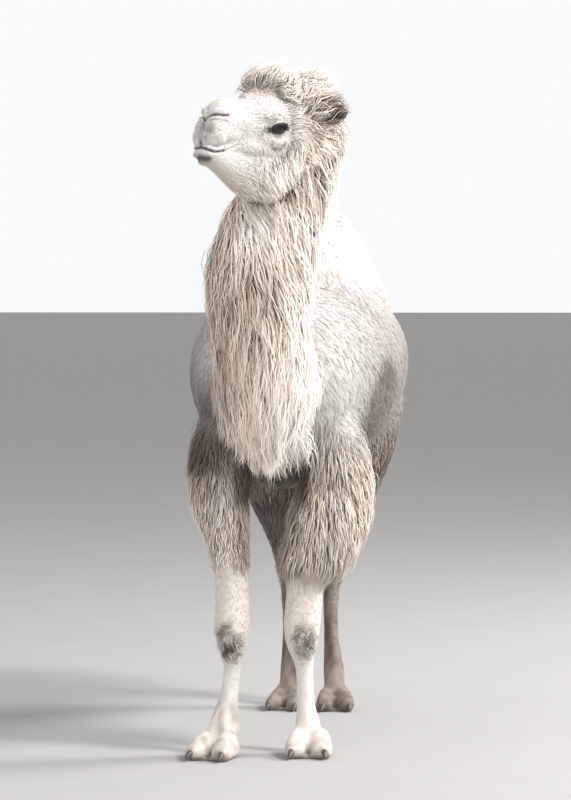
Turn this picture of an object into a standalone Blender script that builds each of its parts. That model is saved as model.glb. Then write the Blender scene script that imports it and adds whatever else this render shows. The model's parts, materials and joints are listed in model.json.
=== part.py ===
"""A standing Bactrian camel, life size, as a still model in named sub-parts.

Metres, +Z up. The camel faces -Y with its left side towards +X, and its head is turned to its right.
Every solid gives the animal's outline out to the tips of its coat: the long wool of the neck, crown and
forearms is part of the shape. The body is modelled whole from lofts that are fused by a voxel remesh, and
is then parted with thin cuts. Eyes, ears, toenails and tail are their own pieces, set into pockets.
"""

import math

import bmesh
import bpy
import numpy as np
from mathutils import Matrix, Vector

# Driving dimensions
EYE_HEIGHT = 2.178  # the eyes above the ground, head held high
HEAD_YAW = math.radians(36)  # the head is turned this far to the animal's right
HEAD_PLACE = Vector((0.007, -1.030, EYE_HEIGHT))  # midway between the eyes
EYE_RADIUS = 0.026
EYE_SPREAD = 0.074  # from the head's middle plane to an eye's centre
BODY_VOXEL = 0.012
HEAD_VOXEL = 0.006
BODY_TRIANGLES = 3200
HEAD_TRIANGLES = 1850
CUT = 0.0012  # width of the thin cuts between sub-parts
GAP = 0.0004  # clearance round a piece that sits in a pocket
RING_POINTS = 36
CUTTERS = "cutters"
CAMEL = "bactrian_camel"

# name: base colour, roughness
COATS = {
    "coat_cream": ((0.72, 0.62, 0.51), 0.9),
    "coat_short": ((0.80, 0.74, 0.67), 0.85),
    "coat_brown": ((0.30, 0.23, 0.18), 0.9),
    "eye_dark": ((0.015, 0.011, 0.009), 0.12),
    "nail_horn": ((0.07, 0.055, 0.045), 0.5),
}

# The trunk from chest to rump: y, z of the middle line, half width, height above it, depth below it.
TRUNK = (
    (-0.800, 1.220, 0.050, 0.050, 0.060),
    (-0.765, 1.220, 0.160, 0.170, 0.180),
    (-0.670, 1.245, 0.250, 0.275, 0.295),
    (-0.500, 1.290, 0.320, 0.350, 0.365),
    (-0.280, 1.340, 0.375, 0.350, 0.405),
    (0.000, 1.370, 0.400, 0.340, 0.440),
    (0.250, 1.380, 0.398, 0.330, 0.425),
    (0.480, 1.380, 0.362, 0.310, 0.360),
    (0.660, 1.370, 0.300, 0.260, 0.290),
    (0.800, 1.340, 0.200, 0.180, 0.210),
    (0.870, 1.315, 0.100, 0.095, 0.110),
    (0.890, 1.310, 0.030, 0.030, 0.030),
)
# A hump from inside the back to its crest: z, half width, half length.
HUMP = (
    (1.450, 0.360, 0.270),
    (1.600, 0.330, 0.262),
    (1.740, 0.268, 0.240),
    (1.865, 0.208, 0.195),
    (1.935, 0.152, 0.148),
    (1.985, 0.090, 0.085),
    (2.005, 0.030, 0.025),
)
# name: y of the hump's middle, how far its crest leans back, scale of its width
HUMPS = {"hump_front": (-0.150, 0.020, 1.00), "hump_rear": (0.400, 0.045, 0.97)}

# The neck with its wool, from inside the trunk up to the skull:
# x, y, z, half width, reach to the front, reach to the back, how far the section is turned (degrees).
NECK = (
    (0.000, -0.420, 1.370, 0.230, 0.250, 0.260, 0),
    (0.000, -0.600, 1.275, 0.250, 0.240, 0.300, 0),
    (-0.005, -0.775, 1.265, 0.205, 0.190, 0.240, 0),
    (-0.012, -0.865, 1.385, 0.168, 0.165, 0.175, 0),
    (-0.022, -0.885, 1.540, 0.177, 0.165, 0.160, 0),
    (-0.020, -0.885, 1.680, 0.184, 0.162, 0.160, 4),
    (0.012, -0.880, 1.800, 0.186, 0.155, 0.160, 12),
    (0.058, -0.872, 1.910, 0.177, 0.148, 0.160, 22),
    (0.098, -0.862, 2.015, 0.158, 0.134, 0.158, 32),
    (0.126, -0.852, 2.110, 0.140, 0.112, 0.136, 36),
    (0.140, -0.842, 2.180, 0.110, 0.086, 0.110, 36),
    (0.155, -0.836, 2.220, 0.060, 0.050, 0.060, 36),
)
# The beard of wool under the neck, hanging to a fringe: x, y, z, half width, half depth.
BEARD = (
    (-0.020, -0.860, 1.500, 0.120, 0.110),
    (-0.016, -0.885, 1.400, 0.158, 0.140),
    (-0.005, -0.890, 1.270, 0.152, 0.140),
    (0.006, -0.888, 1.160, 0.139, 0.122),
    (0.014, -0.885, 1.085, 0.114, 0.096),
    (0.021, -0.882, 1.035, 0.078, 0.062),
    (0.028, -0.880, 1.008, 0.030, 0.024),
)

# Head, facing -Y, from HEAD_PLACE: y, z, half width, height above, depth below.
SKULL = (
    (-0.293, -0.040, 0.026, 0.010, 0.014),
    (-0.287, -0.032, 0.045, 0.022, 0.028),
    (-0.276, -0.024, 0.053, 0.042, 0.040),
    (-0.262, -0.014, 0.055, 0.060, 0.052),
    (-0.244, -0.006, 0.058, 0.076, 0.062),
    (-0.220, 0.002, 0.061, 0.088, 0.070),
    (-0.185, 0.010, 0.061, 0.090, 0.076),
    (-0.140, 0.012, 0.060, 0.087, 0.082),
    (-0.090, 0.010, 0.066, 0.094, 0.098),
    (-0.040, 0.008, 0.083, 0.110, 0.124),
    (0.010, 0.008, 0.094, 0.118, 0.146),
    (0.065, 0.006, 0.098, 0.118, 0.152),
    (0.125, 0.000, 0.098, 0.112, 0.142),
    (0.175, -0.010, 0.085, 0.090, 0.110),
    (0.208, -0.020, 0.048, 0.050, 0.060),
)
LOWER_JAW = (
    (-0.297, -0.086, 0.022, 0.008, 0.008),
    (-0.288, -0.088, 0.038, 0.016, 0.018),
    (-0.262, -0.092, 0.046, 0.028, 0.036),
    (-0.205, -0.100, 0.052, 0.038, 0.064),
    (-0.140, -0.112, 0.058, 0.042, 0.098),
    (-0.070, -0.125, 0.068, 0.040, 0.118),
    (0.000, -0.130, 0.078, 0.050, 0.120),
    (0.070, -0.125, 0.080, 0.050, 0.110),
    (0.125, -0.110, 0.070, 0.050, 0.090),
    (0.155, -0.100, 0.040, 0.030, 0.045),
)
# The hair of the crown, from the forehead over the poll to the nape.
CROWN = (
    (-0.118, 0.088, 0.020, 0.018, 0.020),
    (-0.092, 0.100, 0.056, 0.040, 0.050),
    (-0.050, 0.110, 0.078, 0.084, 0.080),
    (0.005, 0.112, 0.090, 0.108, 0.100),
    (0.070, 0.108, 0.100, 0.118, 0.120),
    (0.140, 0.094, 0.110, 0.130, 0.140),
    (0.200, 0.056, 0.118, 0.146, 0.150),
    (0.248, 0.000, 0.120, 0.150, 0.150),
    (0.278, -0.060, 0.112, 0.140, 0.130),
    (0.292, -0.100, 0.070, 0.100, 0.080),
)
# Blobs of the head, in pairs: middle, radii.
BROWS = ((0.066, -0.012, 0.036), (0.027, 0.052, 0.020))
UPPER_LIPS = ((0.030, -0.248, -0.034), (0.031, 0.040, 0.034))

# A leg from the side, from inside the trunk to the fetlock: z, y, reach to the back, reach to the front.
FORELEG = (
    (1.300, -0.500, 0.140, 0.140),
    (1.120, -0.540, 0.170, 0.165),
    (0.980, -0.568, 0.172, 0.155),
    (0.880, -0.585, 0.168, 0.150),
    (0.780, -0.597, 0.155, 0.140),
    (0.700, -0.604, 0.135, 0.125),
    (0.640, -0.608, 0.112, 0.104),
    (0.590, -0.611, 0.085, 0.080),
    (0.500, -0.618, 0.068, 0.068),
    (0.425, -0.622, 0.064, 0.072),
    (0.360, -0.612, 0.054, 0.056),
    (0.290, -0.606, 0.044, 0.040),
    (0.200, -0.606, 0.045, 0.040),
    (0.140, -0.612, 0.054, 0.050),
    (0.095, -0.628, 0.056, 0.056),
    (0.060, -0.645, 0.050, 0.050),
)
HIND_LEG = (
    (1.380, 0.500, 0.200, 0.180),
    (1.220, 0.500, 0.260, 0.210),
    (1.070, 0.505, 0.220, 0.165),
    (0.930, 0.540, 0.165, 0.130),
    (0.800, 0.605, 0.115, 0.105),
    (0.680, 0.685, 0.085, 0.080),
    (0.590, 0.748, 0.072, 0.070),
    (0.525, 0.768, 0.070, 0.064),
    (0.450, 0.758, 0.052, 0.050),
    (0.330, 0.736, 0.043, 0.040),
    (0.210, 0.712, 0.043, 0.040),
    (0.145, 0.694, 0.050, 0.048),
    (0.100, 0.674, 0.051, 0.051),
    (0.065, 0.656, 0.045, 0.045),
)
# Each leg from the front: z, x, half width.
FORELEG_LEFT = (
    (1.300, 0.180, 0.100),
    (1.060, 0.195, 0.138),
    (0.960, 0.210, 0.142),
    (0.890, 0.203, 0.153),
    (0.826, 0.184, 0.157),
    (0.763, 0.163, 0.149),
    (0.714, 0.144, 0.137),
    (0.665, 0.124, 0.120),
    (0.615, 0.108, 0.085),
    (0.560, 0.102, 0.069),
    (0.460, 0.095, 0.071),
    (0.383, 0.094, 0.060),
    (0.306, 0.101, 0.038),
    (0.172, 0.106, 0.037),
    (0.100, 0.116, 0.050),
    (0.060, 0.122, 0.050),
)
FORELEG_RIGHT = (
    (1.300, -0.180, 0.100),
    (1.060, -0.200, 0.132),
    (0.900, -0.206, 0.120),
    (0.826, -0.190, 0.112),
    (0.763, -0.174, 0.104),
    (0.669, -0.158, 0.082),
    (0.612, -0.151, 0.068),
    (0.540, -0.147, 0.065),
    (0.460, -0.147, 0.068),
    (0.376, -0.145, 0.056),
    (0.306, -0.146, 0.036),
    (0.190, -0.160, 0.040),
    (0.100, -0.170, 0.061),
    (0.060, -0.178, 0.054),
)
HINDLEG_LEFT = (
    (1.380, 0.190, 0.120),
    (1.220, 0.190, 0.165),
    (1.070, 0.180, 0.150),
    (0.930, 0.150, 0.120),
    (0.800, 0.105, 0.092),
    (0.680, 0.062, 0.064),
    (0.590, 0.040, 0.052),
    (0.525, 0.034, 0.048),
    (0.450, 0.033, 0.038),
    (0.300, 0.036, 0.033),
    (0.145, 0.052, 0.046),
    (0.065, 0.060, 0.045),
)
HINDLEG_RIGHT = (
    (1.380, -0.190, 0.120),
    (1.220, -0.195, 0.165),
    (1.070, -0.195, 0.150),
    (0.930, -0.185, 0.120),
    (0.800, -0.165, 0.092),
    (0.680, -0.146, 0.066),
    (0.590, -0.136, 0.055),
    (0.525, -0.132, 0.051),
    (0.450, -0.130, 0.041),
    (0.300, -0.126, 0.035),
    (0.145, -0.120, 0.046),
    (0.065, -0.118, 0.045),
)
# For each leg: its side and front tables, its step forwards at the foot, the foot's middle,
# the foot's size against a fore foot, how far it points outwards (degrees), heights of the two cuts.
FORE_CUTS = (0.405, 0.120)
HIND_CUTS = (0.520, 0.122)
LEGS = {
    "foreleg_left": (FORELEG, FORELEG_LEFT, 0.00, (0.128, -0.672), 0.97, 4, FORE_CUTS),
    "foreleg_right": (FORELEG, FORELEG_RIGHT, 0.09, (-0.184, -0.680), 0.97, -12, FORE_CUTS),
    "hindleg_left": (HIND_LEG, HINDLEG_LEFT, 0.00, (0.064, 0.628), 0.86, 8, HIND_CUTS),
    "hindleg_right": (HIND_LEG, HINDLEG_RIGHT, 0.00, (-0.118, 0.628), 0.86, -8, HIND_CUTS),
}

# A fore foot, facing -Y, from its middle on the ground: y, z, half width, height above, depth below.
PAD = (
    (-0.108, 0.012, 0.040, 0.014, 0.030),
    (-0.090, 0.018, 0.070, 0.028, 0.040),
    (-0.040, 0.026, 0.084, 0.044, 0.050),
    (0.025, 0.030, 0.080, 0.052, 0.054),
    (0.070, 0.026, 0.062, 0.044, 0.050),
    (0.096, 0.018, 0.030, 0.022, 0.034),
)
TOE = (
    (-0.130, 0.018, 0.016, 0.014, 0.024),
    (-0.118, 0.022, 0.030, 0.026, 0.034),
    (-0.085, 0.032, 0.038, 0.034, 0.044),
    (-0.030, 0.050, 0.040, 0.042, 0.060),
    (0.020, 0.070, 0.036, 0.040, 0.070),
)
TOE_SPREAD = 0.040
TOE_SPLAY = math.radians(9)
NAIL_SIZE = (0.0165, 0.024, 0.0150)
NAIL_PLACE = (0.0, -0.1225, 0.0215)

# The tail: y, z, radius.
TAIL = (
    (0.800, 1.490, 0.028),
    (0.885, 1.478, 0.036),
    (0.950, 1.425, 0.036),
    (0.982, 1.330, 0.033),
    (0.988, 1.200, 0.031),
    (0.985, 1.060, 0.038),
    (0.980, 0.950, 0.046),
    (0.977, 0.870, 0.034),
    (0.976, 0.820, 0.010),
)
# A left ear in the head's frame: from its root to its tip.
EAR_ROOT = Vector((0.084, 0.150, 0.042))
EAR_TIP = Vector((0.184, 0.214, 0.062))
EAR_WIDTH, EAR_THICKNESS, EAR_HOLLOW = 0.038, 0.026, 0.013

# The cuts that part the neck from the trunk, and the humps from the back: middle, plate size, normal.
NECK_CUT = ((0, -0.640, 1.310), (1.0, 1.2), (0, -0.92, 0.387))
HUMP_CUT = ((0, 0.150, 1.752), (0.9, 1.26), (0, 0, 1))
# The slanting cut at the top of a left leg: middle, plate size, normal. A right leg's mirrors it.
FORELEG_TOP = ((0.245, -0.575, 0.985), (0.450, 0.480), (-0.47, 0, 1))
HIND_LEG_TOP = ((0.245, 0.560, 1.095), (0.450, 0.640), (-0.44, -0.31, 1))
LOW_CUT_SIZE = (0.20, 0.22)
# The cut behind the head, in the head's frame: middle, normal.
NAPE_CUT = ((0, 0.080, -0.130), (0, -0.575, 0.818))
# Where loose pieces of the body lie: the front of the neck's cut, the lowest neck and the lowest trunk.
NECK_FRONT, NECK_LOWEST, TRUNK_LOWEST = -0.70, 0.95, 1.15
TAIL_TRIANGLES = 320


def clear_scene():
    for obj in list(bpy.data.objects):
        bpy.data.objects.remove(obj)


def collection(name):
    found = bpy.data.collections.get(name)
    if found is None:
        found = bpy.data.collections.new(name)
        bpy.context.scene.collection.children.link(found)
    return found


def coat_material(name):
    found = bpy.data.materials.get(name)
    if found is None:
        colour, roughness = COATS[name]
        found = bpy.data.materials.new(name)
        found.use_nodes = True
        shader = found.node_tree.nodes["Principled BSDF"]
        shader.inputs["Base Color"].default_value = (*colour, 1.0)
        shader.inputs["Roughness"].default_value = roughness
        shader.inputs["Metallic"].default_value = 0.0
    return found


def mesh_object(name, bm, group=CAMEL):
    bmesh.ops.recalc_face_normals(bm, faces=bm.faces)
    mesh = bpy.data.meshes.new(name)
    bm.to_mesh(mesh)
    bm.free()
    obj = bpy.data.objects.new(name, mesh)
    collection(group).objects.link(obj)
    return obj


def hide_cutter(obj):
    obj.hide_render = True
    obj.display_type = "WIRE"
    return obj


def eased(rows, steps):
    """Catmull-Rom values between the rows of a table, so that a loft runs in one smooth sweep."""
    rows = [np.array(row, float) for row in rows]
    padded = [2 * rows[0] - rows[1], *rows, 2 * rows[-1] - rows[-2]]
    made = []
    for before, here, there, after in zip(padded, padded[1:], padded[2:], padded[3:]):
        for step in range(steps):
            t = step / steps
            made.append(
                0.5 * (
                    2 * here
                    + (there - before) * t
                    + (2 * before - 5 * here + 4 * there - after) * t**2
                    + (3 * here - before - 3 * there + after) * t**3
                )
            )
    return [*made, rows[-1]]


def add_loft(bm, sections, place=None, upright=False):
    """A closed tube through sections (centre, side radius, up radius, down radius, turn about Z).

    A section stands square to the path. Its side lies along X, turned by its angle, and its up is side x path.
    Upright sections stand square to Y instead.
    """
    centres = [section[0] for section in sections]
    rings = []
    for i, (centre, wide, high, deep, turn) in enumerate(sections):
        along = (centres[min(i + 1, len(centres) - 1)] - centres[max(i - 1, 0)]).normalized()
        if upright:
            along = Vector((0, 1, 0))
        side = Vector((math.cos(turn), math.sin(-turn), 0))
        side = (side - along * side.dot(along)).normalized()
        up = side.cross(along)
        ring = []
        for k in range(RING_POINTS):
            angle = 2 * math.pi * k / RING_POINTS
            lift = math.sin(angle)
            point = centre + side * (wide * math.cos(angle)) + up * (lift * (high if lift > 0 else deep))
            ring.append(bm.verts.new(place @ point if place else point))
        rings.append(ring)
    for near, far in zip(rings, rings[1:]):
        for k in range(RING_POINTS):
            after = (k + 1) % RING_POINTS
            bm.faces.new((near[k], near[after], far[after], far[k]))
    bm.faces.new(rings[0][::-1])
    bm.faces.new(rings[-1])


def add_blob(bm, middle, radii, place):
    made = bmesh.ops.create_uvsphere(bm, u_segments=28, v_segments=18, radius=1.0)
    size = Matrix.Diagonal((*radii, 1.0))
    bmesh.ops.transform(bm, matrix=place @ Matrix.Translation(middle) @ size, verts=made["verts"])


def add_trunk(bm):
    add_loft(bm, [(Vector((0, y, z)), a, up, down, 0) for y, z, a, up, down in eased(TRUNK, 4)])
    for middle, lean, width in HUMPS.values():
        foot, crest = HUMP[0][0], HUMP[-1][0]
        add_loft(
            bm,
            [
                (Vector((0, middle + lean * (z - foot) / (crest - foot), z)), a * width, b, b, 0)
                for z, a, b in eased(HUMP, 4)
            ],
        )


def add_neck(bm, first=0):
    rows = eased(NECK[first:], 5)
    add_loft(bm, [(Vector(row[:3]), row[3], row[4], row[5], math.radians(row[6])) for row in rows])


def add_beard(bm):
    add_loft(bm, [(Vector((x, y, z)), a, b, b, 0) for x, y, z, a, b in eased(BEARD, 4)])


def read_off(table, z):
    """The values of a table that runs downwards, at height z."""
    smooth = np.array(eased(table, 4))
    return [float(np.interp(-z, -smooth[:, 0], column)) for column in smooth.T[1:]]


def leg_middle(side, front, step, z):
    """The middle of a leg at height z. A step carries it forwards, more towards the foot."""
    y = read_off(side, z)[0] - step * max(0.0, 1 - z / 1.2)
    return Vector((read_off(front, z)[0], y, z))


def add_leg(bm, side, front, step):
    sections = []
    for z, _, back, ahead in eased(side, 4):
        wide = read_off(front, z)[1]
        sections.append((leg_middle(side, front, step, z), wide, back, ahead, 0))
    add_loft(bm, sections)


def foot_place(middle, step, size, outwards):
    turn = Matrix.Rotation(math.radians(outwards), 4, "Z")
    return Matrix.Translation((middle[0], middle[1] - step, 0)) @ turn @ Matrix.Scale(size, 4)


def toe_place(place, side):
    splay = Matrix.Rotation(side * TOE_SPLAY, 4, "Z")
    return place @ Matrix.Translation((side * TOE_SPREAD, 0, 0)) @ splay


def add_foot(bm, place):
    add_loft(bm, [(Vector((0, y, z)), a, up, down, 0) for y, z, a, up, down in eased(PAD, 3)], place)
    for side in (-1, 1):
        add_loft(
            bm,
            [(Vector((0, y, z)), a, up, down, 0) for y, z, a, up, down in eased(TOE, 3)],
            toe_place(place, side),
        )


def head_place():
    return Matrix.Translation(HEAD_PLACE) @ Matrix.Rotation(-HEAD_YAW, 4, "Z")


def add_head(bm):
    place = head_place()
    for table in (SKULL, LOWER_JAW, CROWN):
        sections = [(Vector((0, y, z)), a, up, down, 0) for y, z, a, up, down in eased(table, 4)]
        add_loft(bm, sections, place, upright=True)
    for middle, radii in (BROWS, UPPER_LIPS):
        for side in (-1, 1):
            add_blob(bm, Vector((side * middle[0], *middle[1:])), radii, place)


def modified(obj, kind, **settings):
    """The object with one modifier applied, as a plain mesh."""
    modifier = obj.modifiers.new(kind.lower(), kind)
    for name, value in settings.items():
        setattr(modifier, name, value)
    graph = bpy.context.evaluated_depsgraph_get()
    mesh = bpy.data.meshes.new_from_object(obj.evaluated_get(graph), depsgraph=graph)
    obj.modifiers.clear()
    obj.data = mesh
    return obj


def fused(obj, voxel, rounds, triangles):
    """One closed body from overlapping lofts, smoothed where they meet and thinned to few triangles."""
    modified(obj, "REMESH", mode="VOXEL", voxel_size=voxel)
    modified(obj, "SMOOTH", factor=0.5, iterations=rounds)
    faces = sum(len(face.vertices) - 2 for face in obj.data.polygons)
    return modified(obj, "DECIMATE", ratio=triangles / faces, use_collapse_triangulate=True)


def trimmed(obj, point, normal):
    """Cuts the object flat at a plane, keeping the side that the normal points away from."""
    bm = bmesh.new()
    bm.from_mesh(obj.data)
    geometry = [*bm.verts, *bm.edges, *bm.faces]
    cut = bmesh.ops.bisect_plane(
        bm, geom=geometry, plane_co=point, plane_no=normal, clear_outer=True, dist=1e-6
    )
    rim = [item for item in cut["geom_cut"] if isinstance(item, bmesh.types.BMEdge)]
    bmesh.ops.holes_fill(bm, edges=rim, sides=0)
    bmesh.ops.triangulate(bm, faces=[face for face in bm.faces if len(face.verts) > 4])
    bmesh.ops.recalc_face_normals(bm, faces=bm.faces)
    bm.to_mesh(obj.data)
    bm.free()
    return obj


def carved(obj, cutter):
    modified(obj, "BOOLEAN", operation="DIFFERENCE", object=cutter, solver="EXACT")
    return obj


def grown(obj, by):
    """A cutter: a copy of the object with its surface moved out, which leaves that much clearance."""
    bm = bmesh.new()
    bm.from_mesh(obj.data)
    bm.transform(obj.matrix_world)
    bm.normal_update()
    for vert, normal in [(vert, vert.normal.copy()) for vert in bm.verts]:
        vert.co += normal * by
    return hide_cutter(mesh_object(obj.name + "_pocket", bm, CUTTERS))


def seated(piece, into):
    bpy.context.view_layer.update()
    return carved(into, grown(piece, GAP))


def plate(name, middle, size, normal):
    """A thin flat cutter, square to the normal, for parting one sub-part from the next."""
    bm = bmesh.new()
    bmesh.ops.create_cube(bm, size=1.0)
    turn = Vector(normal).to_track_quat("Z", "Y").to_matrix().to_4x4()
    shape = Matrix.Diagonal((size[0], size[1], CUT, 1.0))
    bmesh.ops.transform(bm, matrix=Matrix.Translation(middle) @ turn @ shape, verts=bm.verts)
    return hide_cutter(mesh_object(name, bm, CUTTERS))


def in_head(point):
    return head_place() @ Vector(point)


def make_eye(side):
    bm = bmesh.new()
    bmesh.ops.create_uvsphere(bm, u_segments=14, v_segments=8, radius=EYE_RADIUS)
    place = in_head((side * EYE_SPREAD, 0, 0))
    turn = Matrix.Rotation(-HEAD_YAW, 4, "Z") @ Matrix.Rotation(math.pi / 2, 4, "Y")
    bmesh.ops.transform(bm, matrix=Matrix.Translation(place) @ turn, verts=bm.verts)
    return mesh_object("eye_left" if side > 0 else "eye_right", bm)


def make_ear(side):
    """A short rounded ear, hollowed to a cup on its front."""
    root = Vector((side * EAR_ROOT.x, EAR_ROOT.y, EAR_ROOT.z))
    tip = Vector((side * EAR_TIP.x, EAR_TIP.y, EAR_TIP.z))
    along = (tip - root).normalized()
    reach = (tip - root).length
    up = Vector((0, 0, 1))
    up = (up - along * up.dot(along)).normalized()
    face = up.cross(along) * (-side)
    basis = Matrix((up, face, along)).transposed().to_4x4()
    place = head_place() @ Matrix.Translation(root) @ basis
    outer = bmesh.new()
    made = bmesh.ops.create_uvsphere(outer, u_segments=12, v_segments=8, radius=1.0)
    shape = Matrix.Diagonal((EAR_WIDTH, EAR_THICKNESS, reach * 0.58, 1.0))
    lift = Matrix.Translation((0, 0, reach * 0.42))
    bmesh.ops.transform(outer, matrix=place @ lift @ shape, verts=made["verts"])
    ear = mesh_object("ear_left" if side > 0 else "ear_right", outer)
    inner = bmesh.new()
    made = bmesh.ops.create_uvsphere(inner, u_segments=10, v_segments=6, radius=1.0)
    shape = Matrix.Diagonal((EAR_WIDTH * 0.62, EAR_HOLLOW, reach * 0.36, 1.0))
    lift = Matrix.Translation((0, -EAR_THICKNESS, reach * 0.60))
    bmesh.ops.transform(inner, matrix=place @ lift @ shape, verts=made["verts"])
    cup = hide_cutter(mesh_object(ear.name + "_cup", inner, CUTTERS))
    return carved(ear, cup)


def make_nail(name, place):
    bm = bmesh.new()
    bmesh.ops.create_uvsphere(bm, u_segments=8, v_segments=5, radius=1.0)
    shape = Matrix.Translation(NAIL_PLACE) @ Matrix.Diagonal((*NAIL_SIZE, 1.0))
    bmesh.ops.transform(bm, matrix=place @ shape, verts=bm.verts)
    return mesh_object(name, bm)


def make_tail():
    bm = bmesh.new()
    add_loft(bm, [(Vector((0, y, z)), r, r, r, 0) for y, z, r in eased(TAIL, 2)])
    obj = mesh_object("tail", bm)
    faces = sum(len(face.vertices) - 2 for face in obj.data.polygons)
    return modified(obj, "DECIMATE", ratio=TAIL_TRIANGLES / faces, use_collapse_triangulate=True)


def make_body():
    """Trunk, humps, neck and legs as one body, on flat soles."""
    bm = bmesh.new()
    add_trunk(bm)
    add_neck(bm)
    add_beard(bm)
    for side, front, step, middle, size, outwards, _ in LEGS.values():
        add_leg(bm, side, front, step)
        add_foot(bm, foot_place(middle, step, size, outwards))
    body = fused(mesh_object("body", bm), BODY_VOXEL, 5, BODY_TRIANGLES)
    return trimmed(body, (0, 0, 0), (0, 0, -1))


def make_head():
    bm = bmesh.new()
    add_head(bm)
    add_neck(bm, first=5)
    return fused(mesh_object("head", bm), HEAD_VOXEL, 4, HEAD_TRIANGLES)


def parting_plates():
    """The cuts through the body, each a plate no wider than the part that it goes through."""
    plates = [plate("cut_neck", *NECK_CUT), plate("cut_humps", *HUMP_CUT)]
    for name, (side, front, step, _, _, _, heights) in LEGS.items():
        mirror = Vector((1 if "left" in name else -1, 1, 1))
        top, size, slope = FORELEG_TOP if side is FORELEG else HIND_LEG_TOP
        plates.append(plate(name + "_top", Vector(top) * mirror, size, Vector(slope) * mirror))
        for height in heights:
            middle = leg_middle(side, front, step, height)
            plates.append(plate(f"{name}_{height}", middle, LOW_CUT_SIZE, (0, 0, 1)))
    return plates


def named_for(middle):
    """The name of a loose piece of the body, from where it lies."""
    if middle.y < NECK_FRONT and middle.z > NECK_LOWEST:
        return "neck"
    hump_middle, hump_cut = HUMP_CUT[0][1:]
    if middle.z > hump_cut:
        return "hump_front" if middle.y < hump_middle else "hump_rear"
    if middle.z > TRUNK_LOWEST:
        return "trunk"
    leg = ("foreleg" if middle.y < 0 else "hindleg") + ("_left" if middle.x > 0 else "_right")
    knee, fetlock = LEGS[leg][6]
    return leg + ("_upper" if middle.z > knee else "_lower" if middle.z > fetlock else "_foot")


def middle_of(obj):
    corners = [Vector(corner) for corner in obj.bound_box]
    return sum(corners, Vector()) / 8


def part_loose(obj):
    """Splits the cut body into its loose pieces, each named from its place."""
    bpy.ops.object.select_all(action="DESELECT")
    obj.select_set(True)
    bpy.context.view_layer.objects.active = obj
    bpy.ops.mesh.separate(type="LOOSE")
    bpy.context.view_layer.update()
    pieces = list(bpy.context.selected_objects)
    for piece in pieces:
        piece.name = piece.data.name = named_for(middle_of(piece))
    return pieces


def finish_of(name):
    if name.startswith("eye"):
        return "eye_dark"
    if name.startswith("nail"):
        return "nail_horn"
    if name.startswith("ear"):
        return "coat_brown"
    long_wool = name in ("neck", "head", "tail") or name.endswith("_upper")
    return "coat_cream" if long_wool else "coat_short"


def centre_on_floor(pieces):
    """Moves the whole camel so that the middle of its footprint's box is at the origin."""
    bpy.context.view_layer.update()
    corners = np.array([piece.matrix_world @ Vector(c) for piece in pieces for c in piece.bound_box])
    middle = (corners.min(0) + corners.max(0)) / 2
    for piece in pieces:
        piece.data.transform(Matrix.Translation((-middle[0], -middle[1], 0)))
    return middle


def build_camel():
    clear_scene()
    body = make_body()
    head = make_head()

    split, nape = in_head(NAPE_CUT[0]), head_place().to_3x3() @ Vector(NAPE_CUT[1])
    trimmed(body, split - nape * CUT / 2, nape)
    trimmed(head, split + nape * CUT / 2, -nape)

    pieces = []
    for side in (-1, 1):
        for piece in (make_eye(side), make_ear(side)):
            seated(piece, head)
            pieces.append(piece)
    for name, (_, _, step, middle, size, outwards, _) in LEGS.items():
        place = foot_place(middle, step, size, outwards)
        for side, word in ((-1, "right"), (1, "left")):
            nail = make_nail(f"nail_{name}_{word}", toe_place(place, side))
            seated(nail, body)
            pieces.append(nail)
    tail = make_tail()
    seated(tail, body)
    for cutter in parting_plates():
        carved(body, cutter)
    pieces += [tail, head, *part_loose(body)]

    for piece in pieces:
        piece.data.materials.clear()
        piece.data.materials.append(coat_material(finish_of(piece.name)))
        piece.data.shade_smooth()
    middle = centre_on_floor(pieces)
    print("moved by", [round(-float(x), 4) for x in middle[:2]])


build_camel()
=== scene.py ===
# %% [markdown]
# # A Bactrian camel in wool
# A museum's model of a camel is an armature that gives the size and the pose, a skin over it, and a coat
# on the skin. This script works in the same order. The solids of the armature are loaded and never moved.
# Over them come one closed skin, two dark wet eyes, horn toenails, and a coat of many thin locks.
# The finished model has to stay inside it.

# %% Load the solids
import json
import math

import bmesh
import bpy
import numpy as np
from mathutils import Matrix, Vector
from mathutils.bvhtree import BVHTree

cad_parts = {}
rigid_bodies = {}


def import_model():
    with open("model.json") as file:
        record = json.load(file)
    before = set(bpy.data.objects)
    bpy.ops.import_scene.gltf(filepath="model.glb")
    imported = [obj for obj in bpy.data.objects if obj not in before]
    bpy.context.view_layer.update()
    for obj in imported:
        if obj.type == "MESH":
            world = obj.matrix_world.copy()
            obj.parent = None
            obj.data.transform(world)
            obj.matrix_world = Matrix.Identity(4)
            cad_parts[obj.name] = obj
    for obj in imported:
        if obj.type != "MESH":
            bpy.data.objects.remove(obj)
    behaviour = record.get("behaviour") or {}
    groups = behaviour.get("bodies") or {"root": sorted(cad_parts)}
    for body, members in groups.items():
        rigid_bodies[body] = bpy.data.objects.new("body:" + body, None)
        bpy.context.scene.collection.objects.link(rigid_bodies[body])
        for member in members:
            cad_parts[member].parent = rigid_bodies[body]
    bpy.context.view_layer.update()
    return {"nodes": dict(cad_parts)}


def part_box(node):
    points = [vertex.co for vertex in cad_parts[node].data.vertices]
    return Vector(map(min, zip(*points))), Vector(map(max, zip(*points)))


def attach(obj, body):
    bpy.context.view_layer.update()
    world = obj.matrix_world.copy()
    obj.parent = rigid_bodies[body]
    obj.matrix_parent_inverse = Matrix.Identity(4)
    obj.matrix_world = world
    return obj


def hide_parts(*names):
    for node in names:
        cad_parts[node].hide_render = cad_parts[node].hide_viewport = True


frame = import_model()

# %% [markdown]
# ## Where the head is
# The solids stand with the middle of their box at the origin. The tables below were drawn with the chest
# at a round number instead, so the whole drawing slides by one small step. The left eye is a good mark for
# that step: it is a ball, so the middle of its box is its centre.

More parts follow.
